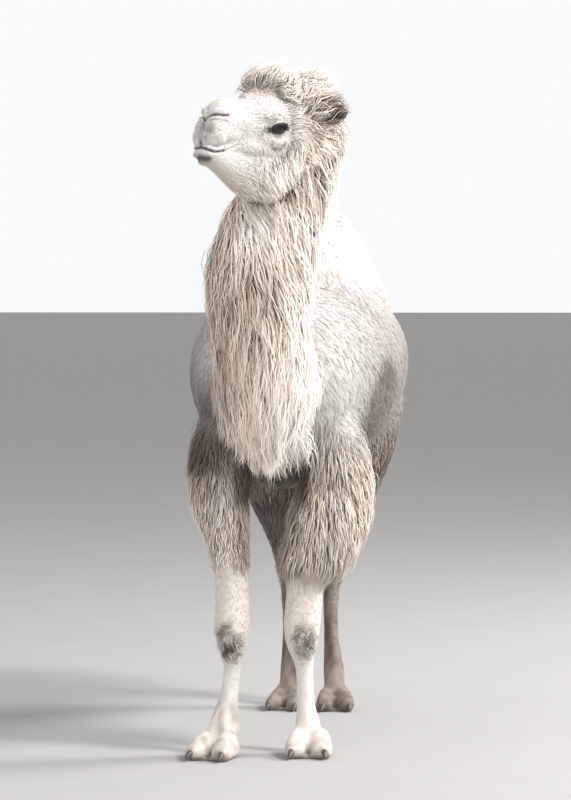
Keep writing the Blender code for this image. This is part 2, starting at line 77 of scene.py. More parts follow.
# %% The drawing's place
HEAD_YAW = math.radians(36)
HEAD_PLACE = Vector((0.007, -1.030, 2.178))
EYE_SPREAD = 0.074
IN_HEAD = Matrix.Translation(HEAD_PLACE) @ Matrix.Rotation(-HEAD_YAW, 4, "Z")


def middle_of_node(name):
    low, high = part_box(name)
    return (low + high) / 2


SLIDE = middle_of_node("eye_left") - IN_HEAD @ Vector((EYE_SPREAD, 0, 0))
SLIDE.z = 0
EYE_RADIUS = (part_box("eye_left")[1].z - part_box("eye_left")[0].z) / 2
print("slide:", [round(v, 4) for v in SLIDE], "eye radius:", round(EYE_RADIUS, 4))

# %% [markdown]
# ## Camera
# A long lens from twelve metres away keeps the body's true proportions: the head is not swollen by being
# nearer. It stands a little to the animal's left, at the height of a person's eyes, and looks slightly down.

# %% Set the camera
CAMERA_SIDE = math.radians(7.6)
CAMERA_DOWN = math.radians(1.76)
CAMERA_AWAY = 12.095
CAMERA_SHIFT = -0.047
CAMERA_HEIGHT = 1.6
LENS = 146.5
FARTHEST = 900


def set_camera():
    data = bpy.data.cameras.new("camera")
    data.lens = LENS
    data.sensor_width = 36
    data.clip_end = FARTHEST
    camera = bpy.data.objects.new("camera", data)
    out = Vector((math.sin(CAMERA_SIDE), -math.cos(CAMERA_SIDE), 0))
    across = Vector((math.cos(CAMERA_SIDE), math.sin(CAMERA_SIDE), 0))
    camera.location = SLIDE + out * CAMERA_AWAY + across * CAMERA_SHIFT + Vector((0, 0, CAMERA_HEIGHT))
    look = -out - Vector((0, 0, math.tan(CAMERA_DOWN)))
    camera.rotation_euler = look.to_track_quat("-Z", "Y").to_euler()
    bpy.context.scene.collection.objects.link(camera)
    bpy.context.scene.camera = camera
    print("camera at", [round(v, 3) for v in camera.location])


set_camera()

# %% [markdown]
# ## Writing a finish in sums
# A finish is a graph of nodes, and sums are easier to read than a graph. The class below wraps one socket,
# so that `1 - mask * 0.5` adds the Math nodes it needs. Colours go through Mix, because a Math node would
# turn them grey. Every other node comes from one method, which takes its type, settings and inputs.

# %% Shader sums
class Term:
    """One output of a node. Sums with it add Math nodes to the same finish."""

    def __init__(self, finish, socket):
        self.finish = finish
        self.socket = socket

    def sum(self, operation, *others):
        return self.finish.node("ShaderNodeMath", {"operation": operation}, dict(enumerate(others)))

    def __add__(self, other):
        return self.sum("ADD", self, other)

    def __sub__(self, other):
        return self.sum("SUBTRACT", self, other)

    def __mul__(self, other):
        return self.sum("MULTIPLY", self, other)

    __radd__ = __add__
    __rmul__ = __mul__

    def __rsub__(self, other):
        return self.sum("SUBTRACT", other, self)

    def sine(self):
        return self.sum("SINE", self)


class Finish:
    """A material under construction, with its Principled shader."""

    def __init__(self, name, **constants):
        self.material = bpy.data.materials.new(name)
        self.material.use_nodes = True
        self.tree = self.material.node_tree
        self.shader = self.tree.nodes["Principled BSDF"]
        for words, value in constants.items():
            self.shader.inputs[words.replace("_", " ")].default_value = value

    def node(self, kind, settings=None, inputs=None, output=0):
        made = self.tree.nodes.new(kind)
        for name, value in (settings or {}).items():
            setattr(made, name, value)
        for socket, value in (inputs or {}).items():
            self.feed(made.inputs[socket], value)
        return Term(self, made.outputs[output])

    def feed(self, socket, value):
        if isinstance(value, Term):
            self.tree.links.new(value.socket, socket)
        else:
            socket.default_value = value

    def mask(self, name):
        return self.node("ShaderNodeAttribute", {"attribute_name": name}, output="Fac")

    def mix(self, factor, first, second, blend="MIX"):
        settings = {"data_type": "RGBA", "blend_type": blend}
        return self.node("ShaderNodeMix", settings, {0: factor, 6: first, 7: second}, output=2)

    def noise(self, scale, detail=2.0, stretch=(1, 1, 1)):
        place = self.node("ShaderNodeTexCoord", output="Object")
        if stretch != (1, 1, 1):
            place = self.node("ShaderNodeMapping", None, {"Vector": place, "Scale": stretch})
        inputs = {"Vector": place, "Scale": scale, "Detail": detail}
        return self.node("ShaderNodeTexNoise", None, inputs, output="Fac")

    def bump(self, height, strength, distance):
        inputs = {"Height": height, "Strength": strength, "Distance": distance}
        self.feed(self.shader.inputs["Normal"], self.node("ShaderNodeBump", None, inputs))

    def colour(self, value):
        self.feed(self.shader.inputs["Base Color"], value)


def paint(red, green, blue):
    return (red, green, blue, 1.0)


print("white paint:", paint(1, 1, 1))

# %% [markdown]
# ## Floor and light
# The floor is a plain pale sheet. The main lamp is large and soft. It stands high on the animal's left, so
# the folds between the locks stay darker. A second lamp behind it lights the rim of the wool, and a wide low
# one in front opens up the chest. A pale sky fills the rest: it gives a little less light than it shows, so
# that a white animal keeps its shape against a white ground.

# %% Stage
FLOOR_SIZE = 800.0
FLOOR_DROP = 0.0005
# place, width of the soft face, watts
LAMPS = {
    "key": ((8.0, -3.8, 9.0), 2.6, 1480.0),
    "rim": ((8.0, 3.5, 6.0), 3.0, 1100.0),
    "fill": ((-3.8, -10.5, 1.2), 5.0, 460.0),
}
LAMP_AIM = Vector((0, -0.3, 1.3))
SKY_LIGHT = 0.82


def make_floor():
    bpy.ops.mesh.primitive_plane_add(size=FLOOR_SIZE, location=(0, 0, -FLOOR_DROP))
    floor = bpy.context.object
    floor.name = "floor"
    finish = Finish("pale_floor", Roughness=0.9)
    grain = finish.noise(3.0, 4.0)
    finish.colour(finish.mix(grain, paint(0.34, 0.33, 0.32), paint(0.37, 0.36, 0.35)))
    floor.data.materials.append(finish.material)


def make_lamps():
    for name, (place, size, watts) in LAMPS.items():
        data = bpy.data.lights.new(name, "AREA")
        data.size = size
        data.energy = watts
        lamp = bpy.data.objects.new(name, data)
        lamp.location = place
        lamp.rotation_euler = (LAMP_AIM - Vector(place)).to_track_quat("-Z", "Y").to_euler()
        bpy.context.scene.collection.objects.link(lamp)


def make_sky():
    world = bpy.data.worlds.new("pale_sky")
    world.use_nodes = True
    links = world.node_tree.links
    backing = world.node_tree.nodes["Background"]
    backing.inputs["Color"].default_value = paint(0.95, 0.955, 0.965)
    seen = world.node_tree.nodes.new("ShaderNodeLightPath").outputs["Is Camera Ray"]
    strength = world.node_tree.nodes.new("ShaderNodeMapRange")
    strength.inputs["To Min"].default_value = SKY_LIGHT
    links.new(seen, strength.inputs["Value"])
    links.new(strength.outputs["Result"], backing.inputs["Strength"])
    bpy.context.scene.world = world
    bpy.context.scene.view_settings.view_transform = "Standard"


make_floor()
make_lamps()
make_sky()
print("lamps:", ", ".join(LAMPS))

# %% [markdown]
# ## The tables of the body
# The body is drawn as a boat is, by sections along a line. These are the outer sizes, out to the tips of the
# coat, and they agree with the solids. A sculptor could push clay by eye instead, but sections keep the two
# in step, and a change of one number moves skin and coat together.

# %% Sections of the trunk and neck
# y, z of the middle line, half width, height above it, depth below it
TRUNK = (
    (-0.800, 1.220, 0.050, 0.050, 0.060),
    (-0.765, 1.220, 0.160, 0.170, 0.180),
    (-0.670, 1.245, 0.250, 0.275, 0.295),
    (-0.500, 1.290, 0.320, 0.350, 0.365),
    (-0.280, 1.340, 0.375, 0.350, 0.405),
    (0.000, 1.370, 0.400, 0.340, 0.440),
    (0.250, 1.380, 0.398, 0.330, 0.425),
    (0.480, 1.380, 0.362, 0.310, 0.360),
    (0.660, 1.370, 0.300, 0.260, 0.290),
    (0.800, 1.340, 0.200, 0.180, 0.210),
    (0.870, 1.315, 0.100, 0.095, 0.110),
    (0.890, 1.310, 0.030, 0.030, 0.030),
)
# z, half width, half length
HUMP = (
    (1.450, 0.360, 0.270),
    (1.600, 0.330, 0.262),
    (1.740, 0.268, 0.240),
    (1.865, 0.208, 0.195),
    (1.935, 0.152, 0.148),
    (1.985, 0.090, 0.085),
    (2.005, 0.030, 0.025),
)
HUMPS = ((-0.150, 0.020, 1.00), (0.400, 0.045, 0.97))
# x, y, z, half width, reach to the front, reach to the back, turn in degrees
NECK = (
    (0.000, -0.420, 1.370, 0.230, 0.250, 0.260, 0),
    (0.000, -0.600, 1.275, 0.250, 0.240, 0.300, 0),
    (-0.005, -0.775, 1.265, 0.205, 0.190, 0.240, 0),
    (-0.010, -0.865, 1.385, 0.178, 0.165, 0.175, 0),
    (-0.022, -0.885, 1.540, 0.190, 0.165, 0.160, 0),
    (-0.024, -0.885, 1.680, 0.195, 0.162, 0.160, 4),
    (0.004, -0.880, 1.800, 0.193, 0.155, 0.160, 12),
    (0.042, -0.872, 1.910, 0.177, 0.148, 0.160, 22),
    (0.086, -0.862, 2.015, 0.158, 0.134, 0.158, 32),
    (0.126, -0.852, 2.110, 0.140, 0.112, 0.136, 36),
    (0.140, -0.842, 2.180, 0.110, 0.086, 0.110, 36),
    (0.155, -0.836, 2.220, 0.060, 0.050, 0.060, 36),
)
# x, y, z, half width, half depth
BEARD = (
    (-0.020, -0.860, 1.500, 0.120, 0.110),
    (-0.006, -0.885, 1.400, 0.168, 0.140),
    (0.002, -0.890, 1.270, 0.159, 0.140),
    (0.006, -0.888, 1.160, 0.139, 0.122),
    (0.014, -0.885, 1.085, 0.114, 0.096),
    (0.021, -0.882, 1.035, 0.078, 0.062),
    (0.028, -0.880, 1.008, 0.030, 0.024),
)
print("sections of the body:", sum(map(len, (TRUNK, HUMP, NECK, BEARD))))

# %% Sections of the head and tail
# In the head's own frame, which faces -Y: y, z, half width, height above, depth below
SKULL = (
    (-0.293, -0.040, 0.026, 0.010, 0.014),
    (-0.287, -0.032, 0.045, 0.022, 0.028),
    (-0.276, -0.024, 0.053, 0.042, 0.040),
    (-0.262, -0.014, 0.055, 0.060, 0.052),
    (-0.244, -0.006, 0.058, 0.076, 0.062),
    (-0.220, 0.002, 0.061, 0.088, 0.070),
    (-0.185, 0.010, 0.061, 0.090, 0.076),
    (-0.140, 0.012, 0.060, 0.087, 0.082),
    (-0.090, 0.010, 0.066, 0.094, 0.098),
    (-0.040, 0.008, 0.083, 0.110, 0.124),
    (0.010, 0.008, 0.094, 0.118, 0.146),
    (0.065, 0.006, 0.098, 0.118, 0.152),
    (0.125, 0.000, 0.098, 0.112, 0.142),
    (0.175, -0.010, 0.085, 0.090, 0.110),
    (0.208, -0.020, 0.048, 0.050, 0.060),
)
LOWER_JAW = (
    (-0.297, -0.086, 0.022, 0.008, 0.008),
    (-0.288, -0.088, 0.038, 0.016, 0.018),
    (-0.262, -0.092, 0.046, 0.028, 0.036),
    (-0.205, -0.100, 0.052, 0.038, 0.064),
    (-0.140, -0.112, 0.058, 0.042, 0.098),
    (-0.070, -0.125, 0.068, 0.040, 0.118),
    (0.000, -0.130, 0.078, 0.050, 0.120),
    (0.070, -0.125, 0.080, 0.050, 0.110),
    (0.125, -0.110, 0.070, 0.050, 0.090),
    (0.155, -0.100, 0.040, 0.030, 0.045),
)
CHEEK = (
    (-0.232, -0.082, 0.026, 0.014, 0.014),
    (-0.208, -0.079, 0.040, 0.024, 0.024),
    (-0.178, -0.071, 0.045, 0.028, 0.028),
    (-0.148, -0.063, 0.050, 0.032, 0.034),
    (-0.110, -0.061, 0.056, 0.036, 0.040),
    (-0.070, -0.065, 0.062, 0.038, 0.044),
    (-0.030, -0.070, 0.064, 0.036, 0.040),
)
CROWN = (
    (-0.118, 0.088, 0.020, 0.018, 0.020),
    (-0.092, 0.100, 0.056, 0.040, 0.050),
    (-0.050, 0.110, 0.078, 0.084, 0.080),
    (0.005, 0.112, 0.090, 0.108, 0.100),
    (0.070, 0.108, 0.100, 0.118, 0.120),
    (0.140, 0.094, 0.110, 0.130, 0.140),
    (0.200, 0.056, 0.118, 0.146, 0.150),
    (0.248, 0.000, 0.120, 0.150, 0.150),
    (0.278, -0.060, 0.112, 0.140, 0.130),
    (0.292, -0.100, 0.070, 0.100, 0.080),
)
# In pairs: middle, radii
BROWS = ((0.066, -0.012, 0.036), (0.027, 0.052, 0.020))
UPPER_LIPS = ((0.030, -0.248, -0.034), (0.031, 0.040, 0.034))
# y, z, radius
TAIL = (
    (0.800, 1.490, 0.028),
    (0.885, 1.478, 0.036),
    (0.950, 1.425, 0.036),
    (0.982, 1.330, 0.033),
    (0.988, 1.200, 0.031),
    (0.985, 1.060, 0.038),
    (0.980, 0.950, 0.046),
    (0.977, 0.870, 0.034),
    (0.976, 0.820, 0.010),
)
EAR_ROOT = Vector((0.084, 0.150, 0.042))
EAR_TIP = Vector((0.184, 0.214, 0.062))
print("sections of the head and tail:", sum(map(len, (SKULL, LOWER_JAW, CHEEK, CROWN, TAIL))))

# %% Sections of the legs
# From the side: z, y, reach to the back, reach to the front
FORELEG = (
    (1.300, -0.500, 0.140, 0.140),
    (1.120, -0.540, 0.170, 0.165),
    (0.980, -0.568, 0.172, 0.155),
    (0.880, -0.585, 0.168, 0.150),
    (0.780, -0.597, 0.155, 0.140),
    (0.700, -0.604, 0.135, 0.125),
    (0.640, -0.608, 0.112, 0.104),
    (0.590, -0.611, 0.085, 0.080),
    (0.500, -0.618, 0.068, 0.068),
    (0.425, -0.622, 0.064, 0.072),
    (0.360, -0.612, 0.054, 0.056),
    (0.290, -0.606, 0.044, 0.040),
    (0.200, -0.606, 0.045, 0.040),
    (0.140, -0.612, 0.054, 0.050),
    (0.095, -0.628, 0.056, 0.056),
    (0.060, -0.645, 0.050, 0.050),
)
HIND_LEG = (
    (1.380, 0.500, 0.200, 0.180),
    (1.220, 0.500, 0.260, 0.210),
    (1.070, 0.505, 0.220, 0.165),
    (0.930, 0.540, 0.165, 0.130),
    (0.800, 0.605, 0.115, 0.105),
    (0.680, 0.685, 0.085, 0.080),
    (0.590, 0.748, 0.072, 0.070),
    (0.525, 0.768, 0.070, 0.064),
    (0.450, 0.758, 0.052, 0.050),
    (0.330, 0.736, 0.043, 0.040),
    (0.210, 0.712, 0.043, 0.040),
    (0.145, 0.694, 0.050, 0.048),
    (0.100, 0.674, 0.051, 0.051),
    (0.065, 0.656, 0.045, 0.045),
)
print("sections of the legs from the side:", len(FORELEG) + len(HIND_LEG))

# %% The same legs from the front
# z, x, half width
FORELEG_LEFT = (
    (1.300, 0.180, 0.100),
    (1.060, 0.195, 0.138),
    (0.960, 0.210, 0.142),
    (0.890, 0.203, 0.153),
    (0.826, 0.184, 0.157),
    (0.763, 0.163, 0.149),
    (0.714, 0.144, 0.137),
    (0.665, 0.124, 0.120),
    (0.615, 0.108, 0.085),
    (0.560, 0.102, 0.069),
    (0.460, 0.095, 0.071),
    (0.383, 0.094, 0.060),
    (0.306, 0.101, 0.038),
    (0.172, 0.106, 0.037),
    (0.100, 0.116, 0.050),
    (0.060, 0.122, 0.050),
)
FORELEG_RIGHT = (
    (1.300, -0.180, 0.100),
    (1.060, -0.200, 0.132),
    (0.900, -0.206, 0.120),
    (0.826, -0.190, 0.112),
    (0.763, -0.174, 0.104),
    (0.669, -0.158, 0.082),
    (0.612, -0.151, 0.068),
    (0.540, -0.147, 0.065),
    (0.460, -0.147, 0.068),
    (0.376, -0.145, 0.056),
    (0.306, -0.146, 0.036),
    (0.190, -0.160, 0.040),
    (0.100, -0.170, 0.061),
    (0.060, -0.178, 0.054),
)
HINDLEG_LEFT = (
    (1.380, 0.190, 0.120),
    (1.220, 0.190, 0.165),
    (1.070, 0.180, 0.150),
    (0.930, 0.150, 0.120),
    (0.800, 0.105, 0.092),
    (0.680, 0.062, 0.064),
    (0.590, 0.040, 0.052),
    (0.525, 0.034, 0.048),
    (0.450, 0.033, 0.038),
    (0.300, 0.036, 0.033),
    (0.145, 0.052, 0.046),
    (0.065, 0.060, 0.045),
)
HINDLEG_RIGHT = (
    (1.380, -0.190, 0.120),
    (1.220, -0.195, 0.165),
    (1.070, -0.195, 0.150),
    (0.930, -0.185, 0.120),
    (0.800, -0.165, 0.092),
    (0.680, -0.146, 0.066),
    (0.590, -0.136, 0.055),
    (0.525, -0.132, 0.051),
    (0.450, -0.130, 0.041),
    (0.300, -0.126, 0.035),
    (0.145, -0.120, 0.046),
    (0.065, -0.118, 0.045),
)
print("sections of the left legs from the front:", len(FORELEG_LEFT) + len(HINDLEG_LEFT))

# %% Sections of the feet
# side table, front table, step forwards, foot's middle, foot's size, degrees outwards
LEGS = {
    "foreleg_left": (FORELEG, FORELEG_LEFT, 0.00, (0.128, -0.672), 0.97, 4),
    "foreleg_right": (FORELEG, FORELEG_RIGHT, 0.09, (-0.184, -0.680), 0.97, -12),
    "hindleg_left": (HIND_LEG, HINDLEG_LEFT, 0.00, (0.064, 0.628), 0.86, 8),
    "hindleg_right": (HIND_LEG, HINDLEG_RIGHT, 0.00, (-0.118, 0.628), 0.86, -8),
}
# In the foot's own frame, which faces -Y: y, z, half width, height above, depth below
PAD = (
    (-0.108, 0.012, 0.040, 0.014, 0.030),
    (-0.090, 0.018, 0.070, 0.028, 0.040),
    (-0.040, 0.026, 0.084, 0.044, 0.050),
    (0.025, 0.030, 0.080, 0.052, 0.054),
    (0.070, 0.026, 0.062, 0.044, 0.050),
    (0.096, 0.018, 0.030, 0.022, 0.034),
)
TOE = (
    (-0.130, 0.018, 0.016, 0.014, 0.024),
    (-0.118, 0.022, 0.030, 0.026, 0.034),
    (-0.085, 0.032, 0.038, 0.034, 0.044),
    (-0.030, 0.050, 0.040, 0.042, 0.060),
    (0.020, 0.070, 0.036, 0.040, 0.070),
)
TOE_TIP = Vector((0, TOE[0][0], 0.02))
TOE_SPREAD = 0.040
TOE_SPLAY = math.radians(9)
print("legs:", ", ".join(LEGS))

# %% [markdown]
# ## The skin under the coat
# The real animal's outline is mostly hair, so the skin is the same drawing with the coat's depth taken off:
# almost nothing on the muzzle and shins, two fingers on the back, and a hand's breadth under the neck wool.
# Closed tubes are lofted through the slimmed sections. A voxel remesh then fuses them into one surface,
# which hides every place where a leg or the neck would otherwise meet the trunk at a seam.

# %% Lofts
RING_POINTS = 48


def eased(rows, steps):
    """Catmull-Rom values between the rows of a table."""
    rows = [np.array(row, float) for row in rows]
    padded = [2 * rows[0] - rows[1], *rows, 2 * rows[-1] - rows[-2]]
    made = []
    for before, here, there, after in zip(padded, padded[1:], padded[2:], padded[3:]):
        for step in range(steps):
            t = step / steps
            slope = (there - before) * t
            bend = (2 * before - 5 * here + 4 * there - after) * t**2
            twist = (3 * here - before - 3 * there + after) * t**3
            made.append(0.5 * (2 * here + slope + bend + twist))
    return [*made, rows[-1]]


def slimmed(rows, columns, depth):
    """The rows with the coat's depth taken off their sizes. At least a third of each size is left."""
    made = []
    for row in rows:
        row = np.array(row, float)
        off = depth(row) if callable(depth) else depth
        for column in columns:
            row[column] = max(row[column] - off, row[column] / 3)
        made.append(row)
    return made


def join_rings(bm, rings):
    """Faces from ring to ring, and a cap at both ends."""
    for near, far in zip(rings, rings[1:]):
        for k in range(RING_POINTS):
            after = (k + 1) % RING_POINTS
            bm.faces.new((near[k], near[after], far[after], far[k]))
    bm.faces.new(rings[0][::-1])
    bm.faces.new(rings[-1])


def add_loft(bm, sections, place=None, upright=False):
    """A closed tube through sections (centre, side, up, down, turn about Z), square to its path."""
    centres = [section[0] for section in sections]
    rings = []
    for i, (centre, wide, high, deep, turn) in enumerate(sections):
        along = (centres[min(i + 1, len(centres) - 1)] - centres[max(i - 1, 0)]).normalized()
        if upright:
            along = Vector((0, 1, 0))
        side = Vector((math.cos(turn), math.sin(-turn), 0))
        side = (side - along * side.dot(along)).normalized()
        up = side.cross(along)
        ring = []
        for k in range(RING_POINTS):
            angle = 2 * math.pi * k / RING_POINTS
            lift = math.sin(angle)
            point = centre + side * (wide * math.cos(angle)) + up * (lift * (high if lift > 0 else deep))
            ring.append(bm.verts.new(place @ point if place else point))
        rings.append(ring)
    join_rings(bm, rings)


def add_blob(bm, middle, radii, place):
    made = bmesh.ops.create_uvsphere(bm, u_segments=32, v_segments=20, radius=1.0)
    size = Matrix.Diagonal((*radii, 1.0))
    bmesh.ops.transform(bm, matrix=place @ Matrix.Translation(middle) @ size, verts=made["verts"])


def flat_sections(rows):
    """Sections of a tube that runs along Y."""
    return [(Vector((0, y, z)), a, up, down, 0) for y, z, a, up, down in rows]


print("ring of", RING_POINTS, "points")

# %% The trunk, humps, neck and tail under their coat
TRUNK_COAT, HUMP_COAT, NECK_COAT, BEARD_COAT, TAIL_COAT = 0.018, 0.026, 0.056, 0.050, 0.016
HUMP_TOP_COAT = 0.035
BEARD_HANG = 0.120


def add_trunk(bm):
    add_loft(bm, flat_sections(eased(slimmed(TRUNK, (2, 3, 4), TRUNK_COAT), 4)))
    foot, crest = HUMP[0][0], HUMP[-1][0]
    for middle, lean, width in HUMPS:
        sections = []
        for z, a, b in eased(slimmed(HUMP, (1, 2), HUMP_COAT), 4):
            share = (z - foot) / (crest - foot)
            centre = Vector((0, middle + lean * share, z - HUMP_TOP_COAT * share))
            sections.append((centre, a * width, b, b, 0))
        add_loft(bm, sections)


def add_neck(bm, first=0, coat=NECK_COAT):
    rows = eased(slimmed(NECK[first:], (3, 4, 5), coat), 5)
    add_loft(bm, [(Vector(row[:3]), row[3], row[4], row[5], math.radians(row[6])) for row in rows])


def add_beard(bm):
    """The close wool inside the beard. Its long tips hang lower."""
    top, bottom = BEARD[0][2], BEARD[-1][2]
    sections = []
    for x, y, z, a, b in eased(slimmed(BEARD, (3, 4), BEARD_COAT), 4):
        raised = z + BEARD_HANG * (top - z) / (top - bottom)
        sections.append((Vector((x, y, raised)), a, b, b, 0))
    add_loft(bm, sections)


def add_tail(bm):
    rows = eased(slimmed(TAIL, (2,), TAIL_COAT), 3)
    add_loft(bm, [(Vector((0, y, z)), r, r, r, 0) for y, z, r in rows])


print("depth of coat on the neck:", NECK_COAT)

# %% The legs and feet under their coat
FOOT_COAT = 0.003


def forearm_coat(row):
    return float(np.interp(row[0], (0.56, 0.62, 0.72, 1.05), (0.005, 0.010, 0.034, 0.030)))


def thigh_coat(row):
    return float(np.interp(row[0], (0.45, 0.70, 1.10), (0.005, 0.010, 0.018)))


def read_off(table, z):
    """The values of a table that runs downwards, at height z."""
    smooth = np.array(eased(table, 4))
    return [float(np.interp(-z, -smooth[:, 0], column)) for column in smooth.T[1:]]


def leg_middle(side, front, step, z):
    y = read_off(side, z)[0] - step * max(0.0, 1 - z / 1.2)
    return Vector((read_off(front, z)[0], y, z))


def add_leg(bm, side, front, step):
    coat = forearm_coat if side is FORELEG else thigh_coat
    thin_front = slimmed(front, (2,), coat)
    sections = []
    for z, _, back, ahead in eased(slimmed(side, (2, 3), coat), 4):
        wide = read_off(thin_front, z)[1]
        sections.append((leg_middle(side, front, step, z), wide, back, ahead, 0))
    add_loft(bm, sections)


def foot_place(middle, step, size, outwards):
    turn = Matrix.Rotation(math.radians(outwards), 4, "Z")
    return Matrix.Translation((middle[0], middle[1] - step, 0)) @ turn @ Matrix.Scale(size, 4)


def toe_place(place, side):
    splay = Matrix.Rotation(side * TOE_SPLAY, 4, "Z")
    return place @ Matrix.Translation((side * TOE_SPREAD, 0, 0)) @ splay


def add_foot(bm, place):
    add_loft(bm, flat_sections(eased(slimmed(PAD, (2, 3, 4), FOOT_COAT), 3)), place)
    for side in (-1, 1):
        toe = flat_sections(eased(slimmed(TOE, (2, 3, 4), FOOT_COAT), 3))
        add_loft(bm, toe, toe_place(place, side))


print("left knee at", [round(v, 3) for v in leg_middle(FORELEG, FORELEG_LEFT, 0.0, 0.44)])

# %% [markdown]
# ## The head under its coat
# The head has the thinnest coat, so its bones and muscles show. The skull and the jaw are two lofts whose
# sections stand upright, as slices of a real head would. The crown's wool hides a smaller core. Each ear is
# a loft of crescents, hollow towards the front: a crescent gives a thin wall at a size that a voxel can hold.

# %% The head's lofts
EAR_WIDTH, EAR_THICKNESS = 0.034, 0.020
CROWN_COAT = 0.058
BLOB_COAT = 0.003
JAW_OVERLAP = 0.008


def face_coat(row):
    return float(np.interp(row[0], (-0.29, -0.08, 0.02, 0.12), (0.002, 0.004, 0.009, 0.016)))


def jaw_coat(row):
    return float(np.interp(row[0], (-0.29, -0.14, 0.00, 0.10), (0.003, 0.009, 0.016, 0.024)))


def add_head(bm):
    skull = slimmed(SKULL, (2, 3, 4), face_coat)
    jaw = slimmed(LOWER_JAW, (2, 4), jaw_coat)
    closed_jaw = [(y, z, a, up + JAW_OVERLAP, down) for y, z, a, up, down in jaw]
    crown = slimmed(CROWN[1:], (2, 3, 4), CROWN_COAT)
    for rows in (skull, closed_jaw, CHEEK, crown):
        add_loft(bm, flat_sections(eased(rows, 4)), IN_HEAD, upright=True)
    for middle, radii in (BROWS, UPPER_LIPS):
        for side in (-1, 1):
            add_blob(bm, Vector((side * middle[0], *middle[1:])), [r - BLOB_COAT for r in radii], IN_HEAD)


def ear_axes(side):
    root = Vector((side * EAR_ROOT.x, EAR_ROOT.y, EAR_ROOT.z))
    tip = Vector((side * EAR_TIP.x, EAR_TIP.y, EAR_TIP.z))
    along = (tip - root).normalized()
    up = (Vector((0, 0, 1)) - along * along.z).normalized()
    face = up.cross(along) * -side
    return root, tip, along, up, face


def add_ear(bm, side):
    """Crescents from the root to the tip. The hollow faces forwards."""
    root, tip, _, up, face = ear_axes(side)
    rings = []
    for t in np.linspace(-0.25, 1.0, 14):
        swell = math.sqrt(max(0.02, 1 - max(0.0, (t - 0.45) / 0.57) ** 2)) * (0.72 + 0.28 * min(1.0, t + 0.4))
        hollow = 0.55 * max(0.0, math.sin(math.pi * min(1.0, max(0.0, (t - 0.05) / 0.95))))
        ring = []
        for k in range(RING_POINTS):
            angle = 2 * math.pi * k / RING_POINTS
            depth = math.sin(angle) * EAR_THICKNESS * swell
            if depth > 0:
                depth *= 1 - 2.3 * hollow * math.sin(angle)
            point = root + (tip - root) * t + up * (math.cos(angle) * EAR_WIDTH * swell) + face * depth
            ring.append(bm.verts.new(IN_HEAD @ point))
        rings.append(ring)
    join_rings(bm, rings)


print("length of an ear:", round((EAR_TIP - EAR_ROOT).length, 3))

# %% Fuse the lofts
BODY_VOXEL = 0.0125
HEAD_VOXEL = 0.0042
HEAD_NECK_START = 6
NECK_TUCK = 0.008


def as_object(name, bm):
    bmesh.ops.recalc_face_normals(bm, faces=bm.faces)
    mesh = bpy.data.meshes.new(name)
    bm.to_mesh(mesh)
    bm.free()
    obj = bpy.data.objects.new(name, mesh)
    bpy.context.scene.collection.objects.link(obj)
    return obj


def modified(obj, kind, **settings):
    """The object with one modifier applied."""
    modifier = obj.modifiers.new(kind.lower(), kind)
    for name, value in settings.items():
        setattr(modifier, name, value)
    graph = bpy.context.evaluated_depsgraph_get()
    mesh = bpy.data.meshes.new_from_object(obj.evaluated_get(graph), depsgraph=graph)
    obj.modifiers.clear()
    obj.data = mesh
    return obj


def body_skin():
    bm = bmesh.new()
    add_trunk(bm)
    add_neck(bm)
    add_beard(bm)
    add_tail(bm)
    for side, front, step, middle, size, outwards in LEGS.values():
        add_leg(bm, side, front, step)
        add_foot(bm, foot_place(middle, step, size, outwards))
    body = modified(as_object("skin", bm), "REMESH", mode="VOXEL", voxel_size=BODY_VOXEL)
    return modified(body, "SMOOTH", factor=0.5, iterations=5)


def head_skin():
    """The head and the top of the neck, which is thinner here, so that it ends inside the body's neck."""
    bm = bmesh.new()
    add_head(bm)
    add_ear(bm, -1)
    add_ear(bm, 1)
    add_neck(bm, HEAD_NECK_START, NECK_COAT + NECK_TUCK)
    head = modified(as_object("head_skin", bm), "REMESH", mode="VOXEL", voxel_size=HEAD_VOXEL)
    return modified(head, "SMOOTH", factor=0.5, iterations=4)


def one_skin():
    body, head = body_skin(), head_skin()
    print("body faces:", len(body.data.polygons), "head faces:", len(head.data.polygons))
    modified(body, "BOOLEAN", operation="UNION", object=head, solver="EXACT")
    bpy.data.objects.remove(head)
    return body


skin = one_skin()
print("skin faces:", len(skin.data.polygons))

# %% [markdown]
# ## Working on points
# Sculpting by hand moves the points under a brush. Here the brush is an array of falloff values, one for
# each point of the skin, so a fold is a line with a width and a depth. The helpers below give those falloffs.
# A smooth step is used for them all, since a hard edge would show as a crease.

# %% Falloffs and smooth random values
def rise(values, low, high):
    """0 below low, 1 above high, and a smooth step between."""
    t = np.clip((np.asarray(values, float) - low) / (high - low), 0, 1)
    return t * t * (3 - 2 * t)


def near(points, middle, radii):
    """1 at the middle, falling smoothly to 0 on an ellipsoid."""
    return rise(1 - np.linalg.norm((points - np.array(middle)) / np.array(radii), axis=1), 0, 1)


def ripple(points, size, seed):
    """A smooth random value from 0 to 1 that changes over about the given size."""
    rng = np.random.default_rng(seed)
    total = np.zeros(len(points))
    for _ in range(7):
        wave = rng.normal(size=3)
        wave *= rng.uniform(0.6, 1.6) / np.linalg.norm(wave)
        total += np.sin(points @ wave * (2 * math.pi / size) / 2 + rng.uniform(0, 2 * math.pi))
    return np.clip(0.5 + total / 5.5, 0, 1)


def points_of(mesh):
    flat = np.empty(len(mesh.vertices) * 3, np.float32)
    mesh.vertices.foreach_get("co", flat)
    return flat.reshape(-1, 3).astype(float)


def normals_of(mesh):
    flat = np.empty(len(mesh.vertices) * 3, np.float32)
    mesh.vertex_normals.foreach_get("vector", flat)
    return flat.reshape(-1, 3).astype(float)


def move_to(mesh, points):
    mesh.vertices.foreach_set("co", points.astype(np.float32).ravel())
    mesh.update()


HEAD_IN = np.array(IN_HEAD.inverted())
HEAD_OUT = np.array(IN_HEAD)


